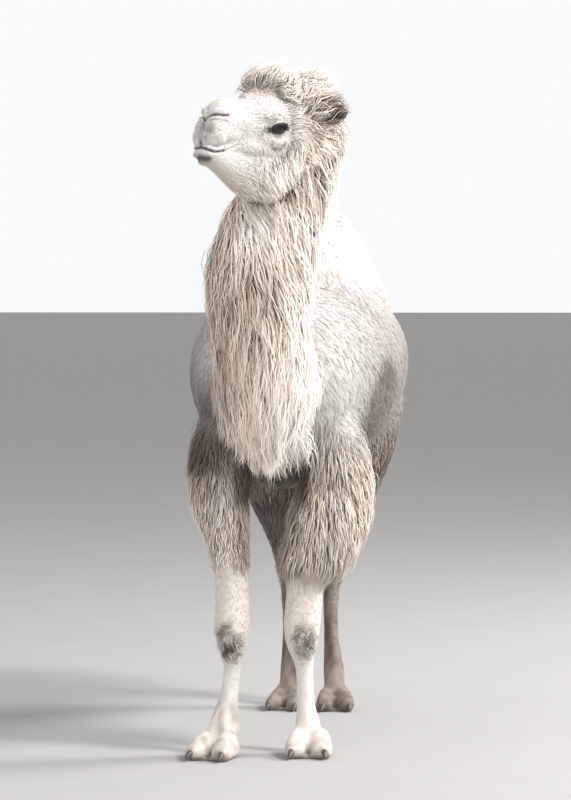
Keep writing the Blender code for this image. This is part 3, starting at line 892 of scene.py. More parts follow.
def to_head(points):
    """Points in the head's own frame, which faces -Y."""
    return points @ HEAD_IN[:3, :3].T + HEAD_IN[:3, 3]


def from_head(points):
    return points @ HEAD_OUT[:3, :3].T + HEAD_OUT[:3, 3]


print("a ripple:", np.round(ripple(np.eye(3), 0.5, 1), 2))

# %% [markdown]
# ## The face
# Most of the skin will be hidden, but not the face. It gets a finer mesh first, only where folds are cut:
# round the eyes, the nostrils and the lips. Then each fold is a stroke, which is a line of a few points
# laid on the skin with a width and a depth. A real camel can shut its nostrils, so they are long slits
# with a thick rim, and its upper lip is split up to the nose.

# %% A finer mesh on the face
# In the head's frame: middle, reach, rounds
FINE_PLACES = (
    ((0.0, -0.235, -0.030), (0.090, 0.085, 0.105), 1),
    ((0.090, -0.004, 0.000), (0.045, 0.058, 0.050), 2),
    ((-0.090, -0.004, 0.000), (0.045, 0.058, 0.050), 2),
)
# In the foot's frame: middle, reach
FINE_TOES, FINE_TOES_REACH = Vector((0, -0.085, 0.045)), (0.050, 0.055, 0.055)


def mirrored(points):
    """The points with those on the right folded onto the left."""
    return np.abs(points) * (1, 0, 0) + points * (0, 1, 1)


def inside_box(points, middle, reach):
    return (np.abs(points - np.array(middle)) < np.array(reach)).all(axis=1)


def halve(bm, inside):
    """Splits every edge whose ends are inside, and smooths what was split."""
    chosen = inside(np.array([vert.co[:] for vert in bm.verts]))
    picked = {vert for vert, wanted in zip(bm.verts, chosen) if wanted}
    edges = [edge for edge in bm.edges if edge.verts[0] in picked and edge.verts[1] in picked]
    bmesh.ops.subdivide_edges(bm, edges=edges, cuts=1, use_grid_fill=True)
    chosen = inside(np.array([vert.co[:] for vert in bm.verts]))
    soft = [vert for vert, wanted in zip(bm.verts, chosen) if wanted]
    bmesh.ops.smooth_vert(bm, verts=soft, factor=0.5, use_axis_x=True, use_axis_y=True, use_axis_z=True)


def refine(mesh):
    """Makes the mesh finer on the face and at the toes."""
    bm = bmesh.new()
    bm.from_mesh(mesh)
    for middle, reach, rounds in FINE_PLACES:
        for _ in range(rounds):
            halve(bm, lambda co: inside_box(to_head(co), middle, reach))
    for _, _, step, middle, size, outwards in LEGS.values():
        place = foot_place(middle, step, size, outwards)
        for _ in range(2):
            halve(bm, lambda co: inside_box(co, place @ FINE_TOES, FINE_TOES_REACH))
    bmesh.ops.triangulate(bm, faces=bm.faces)
    bm.to_mesh(mesh)
    bm.free()


refine(skin.data)
print("refined skin faces:", len(skin.data.polygons))

# %% The broad forms
# On the left half: middle in the head's frame, radii, how far the skin moves out
FORMS = (
    ((0.036, -0.095, -0.062), (0.045, 0.075, 0.036), 0.014),
    ((0.034, -0.284, -0.062), (0.040, 0.034, 0.026), 0.013),
    ((0.030, -0.284, -0.014), (0.034, 0.034, 0.026), -0.009),
    ((0.012, -0.280, -0.116), (0.040, 0.036, 0.032), 0.010),
    ((0.036, -0.256, 0.058), (0.030, 0.048, 0.024), 0.007),
    ((0.052, -0.225, 0.004), (0.034, 0.045, 0.020), -0.005),
    ((0.050, -0.240, -0.036), (0.034, 0.050, 0.034), 0.003),
    ((0.060, -0.155, -0.010), (0.040, 0.070, 0.040), -0.005),
    ((0.066, -0.110, 0.045), (0.040, 0.060, 0.030), -0.006),
    ((0.090, -0.005, 0.050), (0.050, 0.070, 0.026), 0.010),
    ((0.095, 0.030, -0.046), (0.050, 0.090, 0.030), 0.006),
    ((0.092, 0.060, -0.110), (0.060, 0.090, 0.080), 0.008),
    ((0.100, 0.066, 0.010), (0.040, 0.030, 0.030), -0.006),
    ((0.026, -0.282, -0.094), (0.036, 0.035, 0.020), 0.002),
)
print("broad forms:", len(FORMS))

# %% The strokes
# On the left half: points in the head's frame, width, depth (a ridge is negative), how dark its painted shade
# is
STROKES = {
    "nostril": (((0.001, -0.275, 0.019), (0.009, -0.269, 0.030), (0.021, -0.263, 0.037),
                 (0.038, -0.252, 0.040), (0.049, -0.234, 0.038), (0.054, -0.214, 0.038)),
                0.0036, 0.0120, 1.0),
    "nostril_rim": (((0.014, -0.256, 0.056), (0.028, -0.247, 0.060), (0.040, -0.236, 0.056),
                     (0.050, -0.214, 0.049)), 0.0080, -0.0036, 0.0),
    "nostril_crease": (((0.000, -0.258, 0.054), (0.010, -0.252, 0.064), (0.026, -0.242, 0.068),
                        (0.042, -0.224, 0.062)), 0.0050, 0.0030, 0.20),
    "nostril_fold": (((0.011, -0.276, 0.014), (0.031, -0.268, 0.022), (0.048, -0.252, 0.021),
                      (0.056, -0.222, 0.017)), 0.0045, 0.0034, 0.34),
    "philtrum": (((0.000, -0.276, 0.018), (0.005, -0.283, 0.004), (0.008, -0.286, -0.010)),
                 0.0050, 0.0024, 0.60),
    "philtrum_low": (((0.007, -0.288, -0.010), (0.004, -0.292, -0.030), (0.002, -0.294, -0.046)),
                     0.0060, 0.0018, 0.22),
    "lip_split": (((0.001, -0.294, -0.050), (0.001, -0.296, -0.060), (0.001, -0.296, -0.070)),
                  0.0044, 0.0050, 0.90),
    "lip_mark": (((0.024, -0.292, -0.030), (0.025, -0.292, -0.040)), 0.0040, 0.0020, 0.36),
    "mouth": (((0.000, -0.297, -0.069), (0.012, -0.295, -0.071), (0.032, -0.292, -0.078),
               (0.040, -0.266, -0.084), (0.041, -0.240, -0.081), (0.041, -0.216, -0.076)),
              0.0042, 0.0112, 1.0),
    "mouth_back": (((0.041, -0.216, -0.076), (0.044, -0.205, -0.072), (0.046, -0.192, -0.066),
                    (0.049, -0.176, -0.059), (0.051, -0.161, -0.053)), 0.0042, 0.0056, 0.34),
    "lower_lip": (((0.000, -0.298, -0.088), (0.018, -0.294, -0.091), (0.034, -0.286, -0.095),
                   (0.042, -0.262, -0.096), (0.044, -0.233, -0.091)), 0.0070, -0.0022, 0.0),
    "under_lip": (((0.000, -0.294, -0.105), (0.014, -0.292, -0.108), (0.028, -0.283, -0.110)),
                  0.0105, 0.0026, 0.90),
    "mouth_corner": (((0.052, -0.158, -0.044), (0.053, -0.148, -0.052), (0.053, -0.148, -0.066)),
                     0.0045, 0.0034, 0.34),
    "cheek_fold": (((0.058, -0.140, -0.038), (0.059, -0.130, -0.052), (0.058, -0.128, -0.070)),
                   0.0050, 0.0026, 0.24),
    "tear_line": (((0.078, -0.044, -0.008), (0.074, -0.062, -0.020), (0.068, -0.078, -0.036)),
                  0.0040, 0.0030, 0.40),
    "under_eye_a": (((0.070, -0.024, -0.056), (0.069, -0.014, -0.063), (0.070, 0.000, -0.068),
                     (0.071, 0.013, -0.069), (0.078, 0.022, -0.060), (0.084, 0.028, -0.047)),
                    0.0036, 0.0040, 0.55),
    "under_eye_b": (((0.066, -0.017, -0.066), (0.069, 0.011, -0.077), (0.079, 0.029, -0.060)),
                    0.0040, 0.0036, 0.66),
    "under_eye_bag": (((0.080, -0.024, -0.040), (0.082, 0.004, -0.050), (0.086, 0.024, -0.040)),
                      0.0080, -0.0034, 0.0),
    "brow_fold_a": (((0.063, -0.081, 0.024), (0.076, -0.058, 0.028), (0.081, -0.042, 0.029)),
                    0.0040, 0.0026, 0.26),
    "brow_fold_b": (((0.087, -0.039, 0.041), (0.090, -0.004, 0.042), (0.085, 0.033, 0.028)),
                    0.0045, 0.0032, 0.26),
}
print("strokes:", ", ".join(STROKES))


# %% Carve the face
FACE_MIDDLE, FACE_REACH = (0, -0.12, 0), (0.16, 0.22, 0.16)


def both_sides(points):
    points = np.array(points, float)
    return points, points * (-1, 1, 1)


def line_distance(points, line):
    """How far each point is from a broken line."""
    best = np.full(len(points), np.inf)
    for start, end in zip(line, line[1:]):
        along = end - start
        t = np.clip((points - start) @ along / (along @ along), 0, 1)
        best = np.minimum(best, np.linalg.norm(points - start - t[:, None] * along, axis=1))
    return best


def laid_on(tree, line, steps=6):
    """The line eased, with each of its points moved onto the skin."""
    return np.array([tree.find_nearest(point)[0][:] for point in eased(line, steps)])


def skin_tree(points, mesh):
    return BVHTree.FromPolygons(points.tolist(), [tuple(face.vertices) for face in mesh.polygons])


def sculpt_face(mesh):
    """Moves the face's points, and returns how dark each point of the skin is painted with the folds' shade.
    """
    local = to_head(points_of(mesh))
    turn = HEAD_IN[:3, :3]
    for middle, radii, out in FORMS:
        for side in both_sides(middle):
            move_to(mesh, from_head(local))
            normals = normals_of(mesh) @ turn.T
            local += normals * (near(local, side, radii) * out)[:, None]
    move_to(mesh, from_head(local))
    normals = normals_of(mesh) @ turn.T
    tree = skin_tree(local, mesh)
    depth = np.zeros(len(local))
    dark = np.zeros(len(local))
    close = np.flatnonzero(inside_box(local, FACE_MIDDLE, FACE_REACH))
    for line, width, deep, darkness in STROKES.values():
        for side in both_sides(line):
            fall = np.exp(-((line_distance(local[close], laid_on(tree, side)) / width) ** 2))
            deepest = depth[close]
            depth[close] = np.where(np.abs(deep * fall) > np.abs(deepest), deep * fall, deepest)
            dark[close] = np.maximum(dark[close], darkness * np.sqrt(fall))
    local -= normals * depth[:, None]
    move_to(mesh, from_head(local))
    return dark


skin_dark = sculpt_face(skin.data)
print("darkened points:", int((skin_dark > 0.3).sum()))

# %% [markdown]
# ## The cleft between the toes
# A camel stands on two toes with one broad pad under both. The remesh has fused them, so a groove is pressed
# into each foot from the front and over the top, deep at the floor and shallow further back. A Boolean cut
# would leave sharp edges there, and a soft foot has none.

# %% Press the clefts
# In the foot's frame: the line up the front and over the top, with the groove's width and depth at each point
CLEFT = (
    (0, -0.124, 0.012, 0.0130, 0.026),
    (0, -0.122, 0.034, 0.0120, 0.024),
    (0, -0.104, 0.056, 0.0110, 0.018),
    (0, -0.078, 0.074, 0.0110, 0.011),
    (0, -0.046, 0.092, 0.0120, 0.005),
)
FOOT_MIDDLE, FOOT_REACH = Vector((0, -0.02, 0.06)), (0.115, 0.150, 0.075)


def split_feet(mesh, dark):
    """Presses a groove into each foot from the front, ending in two toes, and paints shade where it is deep.
    """
    for _, _, step, middle, size, outwards in LEGS.values():
        place = foot_place(middle, step, size, outwards)
        points, normals = points_of(mesh), normals_of(mesh)
        close = np.flatnonzero(inside_box(points, place @ FOOT_MIDDLE, FOOT_REACH))
        tree = skin_tree(points, mesh)
        rows = np.array(eased(CLEFT, 4))
        line = np.array([tree.find_nearest(place @ Vector(row[:3]))[0][:] for row in rows])
        away = np.linalg.norm(points[close, None] - line[None], axis=2)
        which = away.argmin(axis=1)
        fall = np.exp(-((away.min(axis=1) / rows[which, 3]) ** 2))
        points[close] -= normals[close] * (fall * rows[which, 4])[:, None]
        # Painted shade in the groove, darkest where it is deepest.
        dark[close] = np.maximum(dark[close], 0.80 * fall**2 * rise(rows[which, 4], 0.004, 0.020))
        move_to(mesh, points)


split_feet(skin.data, skin_dark)
print("cleft feet:", len(LEGS))

# %% [markdown]
# ## Eyelids
# A lid is skin pulled over a ball. Every point near the eye is asked for its direction from the ball's
# centre. Inside an almond the point sinks behind the ball, which opens the eye. On the almond's edge it
# rests on the ball, thicker above than below, and further out it eases back into the face.

# %% Pull the lids over the eyes
EYE_TURN = math.radians(20)
LID_HALF = math.radians(70)
LID_UP, LID_DOWN = math.radians(25), math.radians(36)
LID_REACH = 0.020
LID_THICK_UP, LID_THICK_DOWN = 0.0060, 0.0036
LID_SINK = 0.0075
SOCKET_REACH = 2.4


def eye_axes(side):
    """The eye's centre, and the way it looks, forwards along the face, and up, in the head's frame."""
    out = np.array((side * math.cos(EYE_TURN), -math.sin(EYE_TURN), 0))
    ahead = np.array((-side * math.sin(EYE_TURN), -math.cos(EYE_TURN), 0))
    return np.array((side * EYE_SPREAD, 0, 0)), out, ahead, np.array((0, 0, 1.0))


def almond(angle_ahead, angle_up):
    """The angle past the almond's edge. It is negative inside the opening."""
    level = angle_up + 0.10 * angle_ahead
    share = np.clip(np.abs(angle_ahead) / LID_HALF, 0, 1.6)
    half = np.where(level > 0, LID_UP, LID_DOWN)
    edge = half * (1 - share**2.2)
    return np.where(level > 0, level, -level) - edge


def pull_lids(mesh, dark):
    """Opens the lids over both balls, and darkens their rims, most of all towards the nose."""
    local = to_head(points_of(mesh))
    for side in (-1, 1):
        centre, out, ahead, up = eye_axes(side)
        offset = local - centre
        distance = np.linalg.norm(offset, axis=1)
        close = np.flatnonzero((distance < EYE_RADIUS * SOCKET_REACH) & (offset @ out > -0.004))
        way = offset[close] / distance[close, None]
        angle_ahead = np.arctan2(way @ ahead, np.maximum(way @ out, 0.05))
        angle_up = np.arcsin(np.clip(way @ up, -1, 1))
        past = almond(angle_ahead, angle_up) * EYE_RADIUS
        thick = np.where(angle_up > 0, LID_THICK_UP, LID_THICK_DOWN)
        lid = EYE_RADIUS + thick * rise(past, -0.0005, 0.0030)
        lid -= LID_SINK * (1 - rise(past, -0.0030, 0.0004))
        ease = rise(past, 0.006, LID_REACH)
        target = lid * (1 - ease) + np.maximum(distance[close], lid) * ease
        local[close] = centre + way * target[:, None]
        front = rise(way @ ahead, 0.35, 0.80) * rise(-way @ up, -0.25, 0.05)
        reach = 0.0062 + 0.0070 * front
        rim = 1 - rise(past, reach * 0.55, reach * 1.15)
        dark[close] = np.maximum(dark[close], np.maximum(rim, 0.35 * np.exp(-((past / 0.012) ** 2))))
    move_to(mesh, from_head(local))


pull_lids(skin.data, skin_dark)
print("lids over a ball of", round(EYE_RADIUS, 4))

# %% [markdown]
# ## Thinning the mesh
# The wool hides most of the skin, so the body does not need the face's fine mesh. A collapse decimation
# removes points where the surface is nearly flat, and a vertex group keeps it away from the face. The painted
# shade in the hollows of the ears is marked first, while their shape is sharp. Last, the soles are pressed
# level, just above the floor.

# %% Thin the skin away from the face
SKIN_TRIANGLES = 190000
THINNED_FACE_REACH = (0.16, 0.21, 0.16)
FACE_KEPT = 8.0
SOLE_HEIGHT = 0.0015
EAR_DARKNESS = 0.85


def add_mask(mesh, name, values):
    layer = mesh.attributes.new(name, "FLOAT", "POINT")
    layer.data.foreach_set("value", np.asarray(values, np.float32))


def read_mask(mesh, name):
    values = np.empty(len(mesh.vertices), np.float32)
    mesh.attributes[name].data.foreach_get("value", values)
    return values.astype(float)


def thin(obj):
    local = to_head(points_of(obj.data))
    face = inside_box(local, FACE_MIDDLE, THINNED_FACE_REACH)
    plain = obj.vertex_groups.new(name="plain")
    plain.add(np.flatnonzero(~face).tolist(), 1.0, "REPLACE")
    triangles = sum(len(polygon.vertices) - 2 for polygon in obj.data.polygons)
    modified(
        obj, "DECIMATE", ratio=SKIN_TRIANGLES / triangles, vertex_group="plain",
        vertex_group_factor=FACE_KEPT, use_collapse_triangulate=True,
    )
    obj.vertex_groups.clear()


def ear_hollow_shade(mesh):
    """How much painted shade lies in the hollow of each ear."""
    local = to_head(points_of(mesh))
    normals = normals_of(mesh) @ HEAD_IN[:3, :3].T
    hollow = np.zeros(len(local))
    for side in (-1, 1):
        root, tip, along, up, face = (np.array(axis) for axis in ear_axes(side))
        share = (local - root) @ along / np.linalg.norm(tip - root)
        across = np.abs((local - root) @ up) / EAR_WIDTH
        inside = rise(share, 0.05, 0.25) * rise(-share, -0.98, -0.80) * rise(-across, -0.85, -0.45)
        hollow = np.maximum(hollow, inside * rise(normals @ face, 0.2, 0.6) * (np.abs(share) < 1.2))
    return hollow * (np.abs(local[:, 2]) < 0.14) * (local[:, 1] > 0.10)


add_mask(skin.data, "dark", np.maximum(skin_dark, EAR_DARKNESS * ear_hollow_shade(skin.data)))
thin(skin)
SKIN_POINTS = points_of(skin.data)
SKIN_POINTS[:, 2] = np.maximum(SKIN_POINTS[:, 2], SOLE_HEIGHT)
move_to(skin.data, SKIN_POINTS)
SKIN_NORMALS = normals_of(skin.data)
SKIN_TREE = skin_tree(SKIN_POINTS, skin.data)
print("thinned skin faces:", len(skin.data.polygons))

# %% [markdown]
# ## Colours and where they are
# The coat is cream, with warm beige wool, taupe brown legs and chest, and grey on the muzzle, the flanks
# and the trunk; on the flanks and the trunk the grey is partly painted shade, heavier low down.
# Each colour has a mask: a number from 0 to 1 at every point of the skin. A lock of hair reads the masks at
# its root, so the skin and the coat over it always carry the same markings. Two more masks say where the
# hair is short, and where it is dark: the lashes and the rims of the eyes, and painted shade in the folds, in
# the hollows of the ears, between the forelegs and on the hind legs. Painting by hand would be quicker
# once, but a mask written as a sum of falloffs follows every change of shape.

# %% Parts of the body by place
NAPE_POINT = np.array(IN_HEAD @ Vector((0, 0.080, -0.130)))
NAPE_WAY = np.array(IN_HEAD.to_3x3() @ Vector((0, -0.575, 0.818)))
NECK_EDGE, FAR_OUTSIDE = 0.93, 9.0


def on_head(points):
    return ((points - NAPE_POINT) @ NAPE_WAY > 0) & (points[:, 2] > 1.9)


def tube_share(points, rows, wide, ahead, behind):
    """How far out each point is in an upright tube of sections: 0 on its middle line, 1 on its outside."""
    rows = np.array(sorted(rows, key=lambda row: row[2]), float)
    z = points[:, 2]
    columns = (0, 1, wide, ahead, behind)
    x, y, half, front, back = (np.interp(z, rows[:, 2], rows[:, column]) for column in columns)
    reach = np.where(points[:, 1] < y, front, back)
    share = np.hypot((points[:, 0] - x) / half, (points[:, 1] - y) / reach)
    return np.where((z > rows[0, 2]) & (z < rows[-1, 2]), share, FAR_OUTSIDE)


def on_neck(points):
    neck = tube_share(points, NECK[3:], 3, 4, 5) < NECK_EDGE
    beard = tube_share(points, BEARD, 3, 4, 4) < NECK_EDGE
    return (neck | beard) & ~on_head(points)


def neck_middle(points):
    rows = np.array(NECK[3:])
    return [np.interp(points[:, 2], rows[:, 2], rows[:, column]) for column in (0, 1)]


def leg_share(points):
    """0 on the trunk, rising to 1 down the tops of the legs."""
    ends = rise(-points[:, 1], 0.28, 0.42) + rise(points[:, 1], 0.26, 0.40)
    return rise(-points[:, 2], -1.20, -1.00) * ends


def on_foreleg(points):
    return (points[:, 1] < 0) & (leg_share(points) > 0) & ~on_neck(points)


def on_tail(points):
    return (points[:, 1] > 0.915) & (np.abs(points[:, 0]) < 0.06)


def on_hindleg(points):
    return (points[:, 1] > 0) & (leg_share(points) > 0) & ~on_tail(points)


def on_trunk(points):
    others = on_head(points) | on_neck(points) | on_tail(points)
    return ~others * (1 - leg_share(points))


print("points of skin on the neck:", int(on_neck(SKIN_POINTS).sum()))

# %% Parts of the head by place
# In the head's frame: y, and the height at which the crown's wool starts
HAIRLINE = ((-0.120, 0.122), (0.016, 0.130), (0.070, 0.098), (0.110, 0.022), (0.160, -0.030), (0.300, -0.120))


def over_hairline(local):
    """How far each point is above the line where the crown's wool starts."""
    line = np.array(HAIRLINE)
    return local[:, 2] - np.interp(local[:, 1], line[:, 0], line[:, 1])


def ruff_share(back, up):
    """1 where the cheek's hair grows long: behind the eye, and further forward low on the jaw."""
    return rise(back + 0.11 * rise(-up, 0.08, 0.15), 0.040, 0.080)


def hair_size(points):
    """How long the head's hair is: short on the nose, longer down the cheeks, 1 in the ruff."""
    _, back, up = to_head(points).T
    size = 0.12 + 0.12 * rise(back, -0.24, -0.08)
    size += 0.30 * rise(back, -0.15, -0.02) * rise(-up, 0.02, 0.09)
    size += 0.22 * rise(-up, 0.11, 0.17) * rise(back, -0.27, -0.10)
    size += 0.45 * ruff_share(back, up)
    size = np.minimum(1.15, size + 0.45 * rise(back, 0.03, 0.14) * rise(-up, -0.06, 0.02))
    under_eye = near(mirrored(to_head(points)), (0.078, 0.0, -0.048), (0.050, 0.055, 0.050))
    return size * (1 - 0.72 * under_eye**0.5)


print("hair size on the cheek:", np.round(hair_size(from_head(np.array([[0.08, 0.0, -0.08]]))), 2))

# %% Cream and beige
BROWN_KNEES = ((0.122, -0.690, 0.400), (-0.155, -0.745, 0.398))
THROAT = (-0.020, -0.960, 1.930)
TOE_TIPS = [
    np.array(toe_place(foot_place(middle, step, size, outwards), toe) @ TOE_TIP)
    for _, _, step, middle, size, outwards in LEGS.values()
    for toe in (-1, 1)
]


def ear_marks(local):
    """1 over the outer two thirds of both ears."""
    return near(mirrored(local), (0.150, 0.190, 0.046), (0.080, 0.080, 0.074)) ** 0.30


def tan_marks(points, local, head, neck, streak):
    """Beige: the neck, the crown, the ruff behind the jaw, the forearms, and a breath of it on the cheeks."""
    tan = 0.10 * ripple(points, 0.35, 12)
    # On the neck the beige is painted towards cream on the left, which faces the lamp, and low down: painted
    # light.
    side = rise(points[:, 0] - neck_middle(points)[0], -0.02, 0.13)
    low = rise(-points[:, 2], -1.55, -1.20)
    tan = np.where(neck, (0.50 + 0.50 * streak) * (1 - (0.55 + 0.35 * low) * side) * (1 - 0.2 * low), tan)
    crown = 0.55 * rise(over_hairline(local), -0.01, 0.02)
    ruff = rise(local[:, 1], 0.00, 0.12) * (0.15 + 0.55 * streak)
    cheek = 0.25 * rise(local[:, 1], -0.14, 0.02) * rise(-local[:, 2], 0.00, 0.08)
    chin = 0.45 * rise(-local[:, 2], 0.12, 0.17)
    cream_patch = near(local, (0.05, 0.17, 0.14), (0.08, 0.07, 0.07))
    tan = np.where(head, np.maximum.reduce([cheek, chin, ruff, crown]) * (1 - 0.9 * cream_patch), tan)
    legs = leg_share(points) * rise(points[:, 2], 0.60, 0.68)
    feet = 0.45 * rise(-points[:, 2], -0.22, -0.06)
    forearms = 0.45 * rise(points[:, 2], 0.34, 0.48) * leg_share(points)
    return np.maximum.reduce([tan, feet, forearms, legs * (0.45 + 0.55 * streak)])


print("toes to darken:", len(TOE_TIPS))


# %% Brown
def leg_browns(points, streak):
    """Taupe: the chest between the legs, the insides of the forearms, the knees, and all of the hind legs."""
    x, y, z = points.T
    legs = leg_share(points)
    edge = -1.16 + 0.10 * rise(x, 0.05, 0.20)
    low_chest = rise(-z, edge, -1.02) * rise(-y, 0.35, 0.55) * rise(z, 0.85, 0.95)
    brown = low_chest * (0.60 + 0.40 * streak) * (1 - legs * rise(np.abs(x), 0.13, 0.18))
    # The right side of the chest, away from the lamp, is painted deep brown: brown hair, and painted shade.
    right_chest = rise(-x, 0.10, 0.20) * rise(-y, 0.45, 0.58) * rise(-z, -1.40, -1.22) * rise(z, 0.95, 1.05)
    brown = np.maximum(brown, right_chest * (0.80 + 0.20 * streak))
    strands = ripple(points * (3.2, 3.2, 0.8), 0.07, 18)
    left = 0.40 * strands + 0.36 * rise(-x, -0.18, -0.08) - 0.40 * rise(x, 0.20, 0.32)
    left += 0.34 * near(points, (0.130, -0.680, 1.030), (0.130, 0.160, 0.130)) ** 0.6
    right = 0.10 * strands + 0.42 * rise(x, -0.155, -0.110) + 0.24 * rise(z, 0.86, 1.02)
    chaps = legs * rise(z, 0.60, 0.68) * (y < 0) * np.clip(np.where(x > 0, left, right), 0, 1)
    brown = np.maximum(brown, chaps)
    curls = ripple(points * (1.0, 1.0, 0.6), 0.021, 17)
    for knee in BROWN_KNEES:
        patch = near(points, knee, (0.062, 0.080, 0.094)) ** 0.4
        brown = np.maximum(brown, patch * rise(curls, 0.25, 0.90) * (0.80 + 0.20 * (x < 0)))
    haunch = rise(-z, -1.36, -0.95) * rise(y, 0.20, 0.50)
    brown = np.maximum(brown, haunch * (0.66 + 0.34 * strands))
    for tip in TOE_TIPS:
        brown = np.maximum(brown, (0.10 + 0.60 * curls) * near(points, tip, (0.085, 0.130, 0.090)) ** 0.6)
    brown = np.maximum(brown, 0.46 * curls * rise(-z, -0.26, -0.14) * (y < 0) * np.where(x < 0, 1, 0.25))
    return np.maximum(brown, 0.75 * rise(-z, -0.022, -0.008))


def head_browns(local, head, streak):
    """Dark hair: the ears, the line where the crown starts, the nape behind the jaw, and the chin."""
    brown = (0.75 + 0.25 * ripple(local, 0.010, 16)) * ear_marks(local) * head
    hairline = np.exp(-((over_hairline(local) / 0.012) ** 2)) * rise(local[:, 1], -0.11, -0.08)
    brown = np.maximum(brown, 0.42 * hairline * head * (local[:, 1] < 0.04))
    brown = np.maximum(brown, (0.30 + 0.30 * streak) * near(local, (0.06, 0.20, -0.17), (0.08, 0.08, 0.09)))
    return np.maximum(brown, 0.30 * near(local, (0, -0.285, -0.112), (0.05, 0.04, 0.03)) * head)


print("brown at the left knee:", np.round(leg_browns(np.array(BROWN_KNEES[:1]), 0.5), 2))


# %% All the masks
def markings(points):
    """Masks of the coat's colours at the points, as a dictionary of arrays."""
    _, y, z = points.T
    local = to_head(points)
    streak = ripple(points * (3.0, 3.0, 0.7), 0.16, 11)
    head, neck = on_head(points), on_neck(points)
    tan = tan_marks(points, local, head, neck, streak)
    brown = np.maximum(leg_browns(points, streak) * ~neck, head_browns(local, head, streak))
    throat = near(points, THROAT, (0.13, 0.10, 0.16)) * neck
    brown = np.maximum(brown, 0.30 * throat * rise(streak, 0.50, 0.70))
    # Under the jaw the wool is painted creamier: painted light in the jaw's shadow.
    tan = tan * (1 - 0.7 * throat)
    brown = np.where(on_tail(points), 0.20 + 0.40 * rise(-z, -1.1, -0.9), brown)
    # Behind both shoulders the flank is painted brown and grey: browner hair, and painted shade in the hollow
    # between shoulder and belly.
    flank = rise(near(mirrored(points), (0.35, -0.24, 1.21), (0.17, 0.30, 0.26)), 0.02, 0.34)
    brown = np.maximum(brown, flank * (0.15 + 0.85 * streak))
    muzzle = near(local, (0.026, -0.275, -0.020), (0.066, 0.065, 0.058)) ** 0.7
    grey = np.maximum(flank, 0.66 * muzzle * head * (0.55 + 0.45 * ripple(points, 0.012, 15)))
    short = 0.74 * head * (1 - rise(hair_size(points), 0.30, 1.0)) * rise(-over_hairline(local), -0.02, 0.0)
    shins = rise(-z, -0.70, -0.64) * (y < 0) + rise(-z, -0.85, -0.60) * (y > 0)
    short = np.maximum(short, shins * leg_share(points))
    short = np.maximum(short, on_trunk(points))
    # Grey on the trunk below the humps: a greyer tone that changes at random, and painted shade that is
    # heavier low down and lighter at the front.
    trunk_grey_and_shade = 0.44 + 0.26 * ripple(points * (1, 1, 0.6), 0.30, 14)
    trunk_grey_and_shade += 0.20 * rise(-z, -1.75, -1.30) * rise(y, -0.55, -0.15)
    trunk_grey_and_shade *= 1 - 0.4 * rise(-y, 0.48, 0.62)
    trunk_grey_and_shade += 0.12 * rise(-y, -0.10, 0.30) * rise(-z, -1.62, -1.30)
    grey = np.maximum(grey, trunk_grey_and_shade * on_trunk(points) * rise(-z, -1.80, -1.50))
    tan = np.maximum(tan, np.minimum(1, 1.5 * brown * (grey < 0.3)))
    # Painted shade: darker between the forelegs and on the hind legs under the body, most of all high up.
    between = near(points, (0.020, -0.620, 1.000), (0.170, 0.180, 0.200)) ** 0.7
    inner = rise(-z, -1.20, -0.90) * rise(y, 0.25, 0.50) * (0.5 + 0.5 * rise(z, 0.20, 0.55))
    dark = np.maximum(0.55 * between * ~neck, 0.42 * inner * (0.55 + 0.45 * streak))
    return {"tan": tan, "brown": brown, "grey": grey, "short": short, "dark": dark}


SKIN_FOLDS = read_mask(skin.data, "dark")
skin_marks = markings(SKIN_POINTS)
skin_marks["dark"] = np.maximum(skin_marks["dark"], SKIN_FOLDS)
skin.data.attributes.remove(skin.data.attributes["dark"])
for mark, values in skin_marks.items():
    add_mask(skin.data, mark, values)
    print(mark, "mean", round(float(values.mean()), 3))

# %% [markdown]
# ## The coat's finish
# One recipe makes every hair colour. The masks choose between cream, beige, brown and grey. Light hair is
# darker at the root, where its neighbours shade it, so the colour also follows each lock from root to tip.
# Fine lines along the lock stand for its single hairs: they darken the colour a little and feed the bump.
# The skin has the same recipe with noise in place of the locks, so bare places don't show.

# %% Make the coat's finishes
CREAM = paint(0.950, 0.918, 0.872)
TAN = paint(0.935, 0.790, 0.665)
BROWN = paint(0.152, 0.104, 0.077)
GREY = paint(0.300, 0.262, 0.240)
DARK = paint(0.014, 0.011, 0.010)
ROOT_SHADE = paint(0.240, 0.180, 0.145)
FLAT_SHADE = paint(0.700, 0.695, 0.690)
HAIR_LINES, HAIR_SHIFT = 16.0, 40.0


def hair_colour(finish, shade):
    """The masked coat colour, drawn towards the root colour where shade is 1."""
    colour = finish.mix(finish.mask("tan"), CREAM, TAN)
    colour = finish.mix(finish.mask("grey"), colour, GREY)
    colour = finish.mix(finish.mask("brown"), colour, BROWN)
    colour = finish.mix(finish.mask("short"), colour, finish.mix(1.0, colour, FLAT_SHADE, "MULTIPLY"))
    rooted = finish.mix(1.0, colour, ROOT_SHADE, "MULTIPLY")
    return finish.mix(shade, colour, rooted)


def coat_finish():
    finish = Finish("coat_hair", Roughness=0.62, Sheen_Weight=0.25, Sheen_Roughness=0.4)
    tone = finish.mask("tone")
    along = finish.mask("along")
    lines = (finish.mask("across") * HAIR_LINES + tone * HAIR_SHIFT).sine()
    # The tone term paints shade on low locks, and on the neck the painted light and shade of its sides.
    shade = (1 - along) * 0.70 + (tone - 0.64) * 1.30 + lines * 0.16
    shade = shade * (1 - finish.mask("short") * 0.76)
    shade = finish.node("ShaderNodeClamp", None, {"Value": shade})
    colour = hair_colour(finish, shade)
    colour = finish.mix(finish.mask("dark"), colour, DARK)
    finish.colour(colour)
    finish.bump(lines, 0.35, 0.0006)
    return finish.material


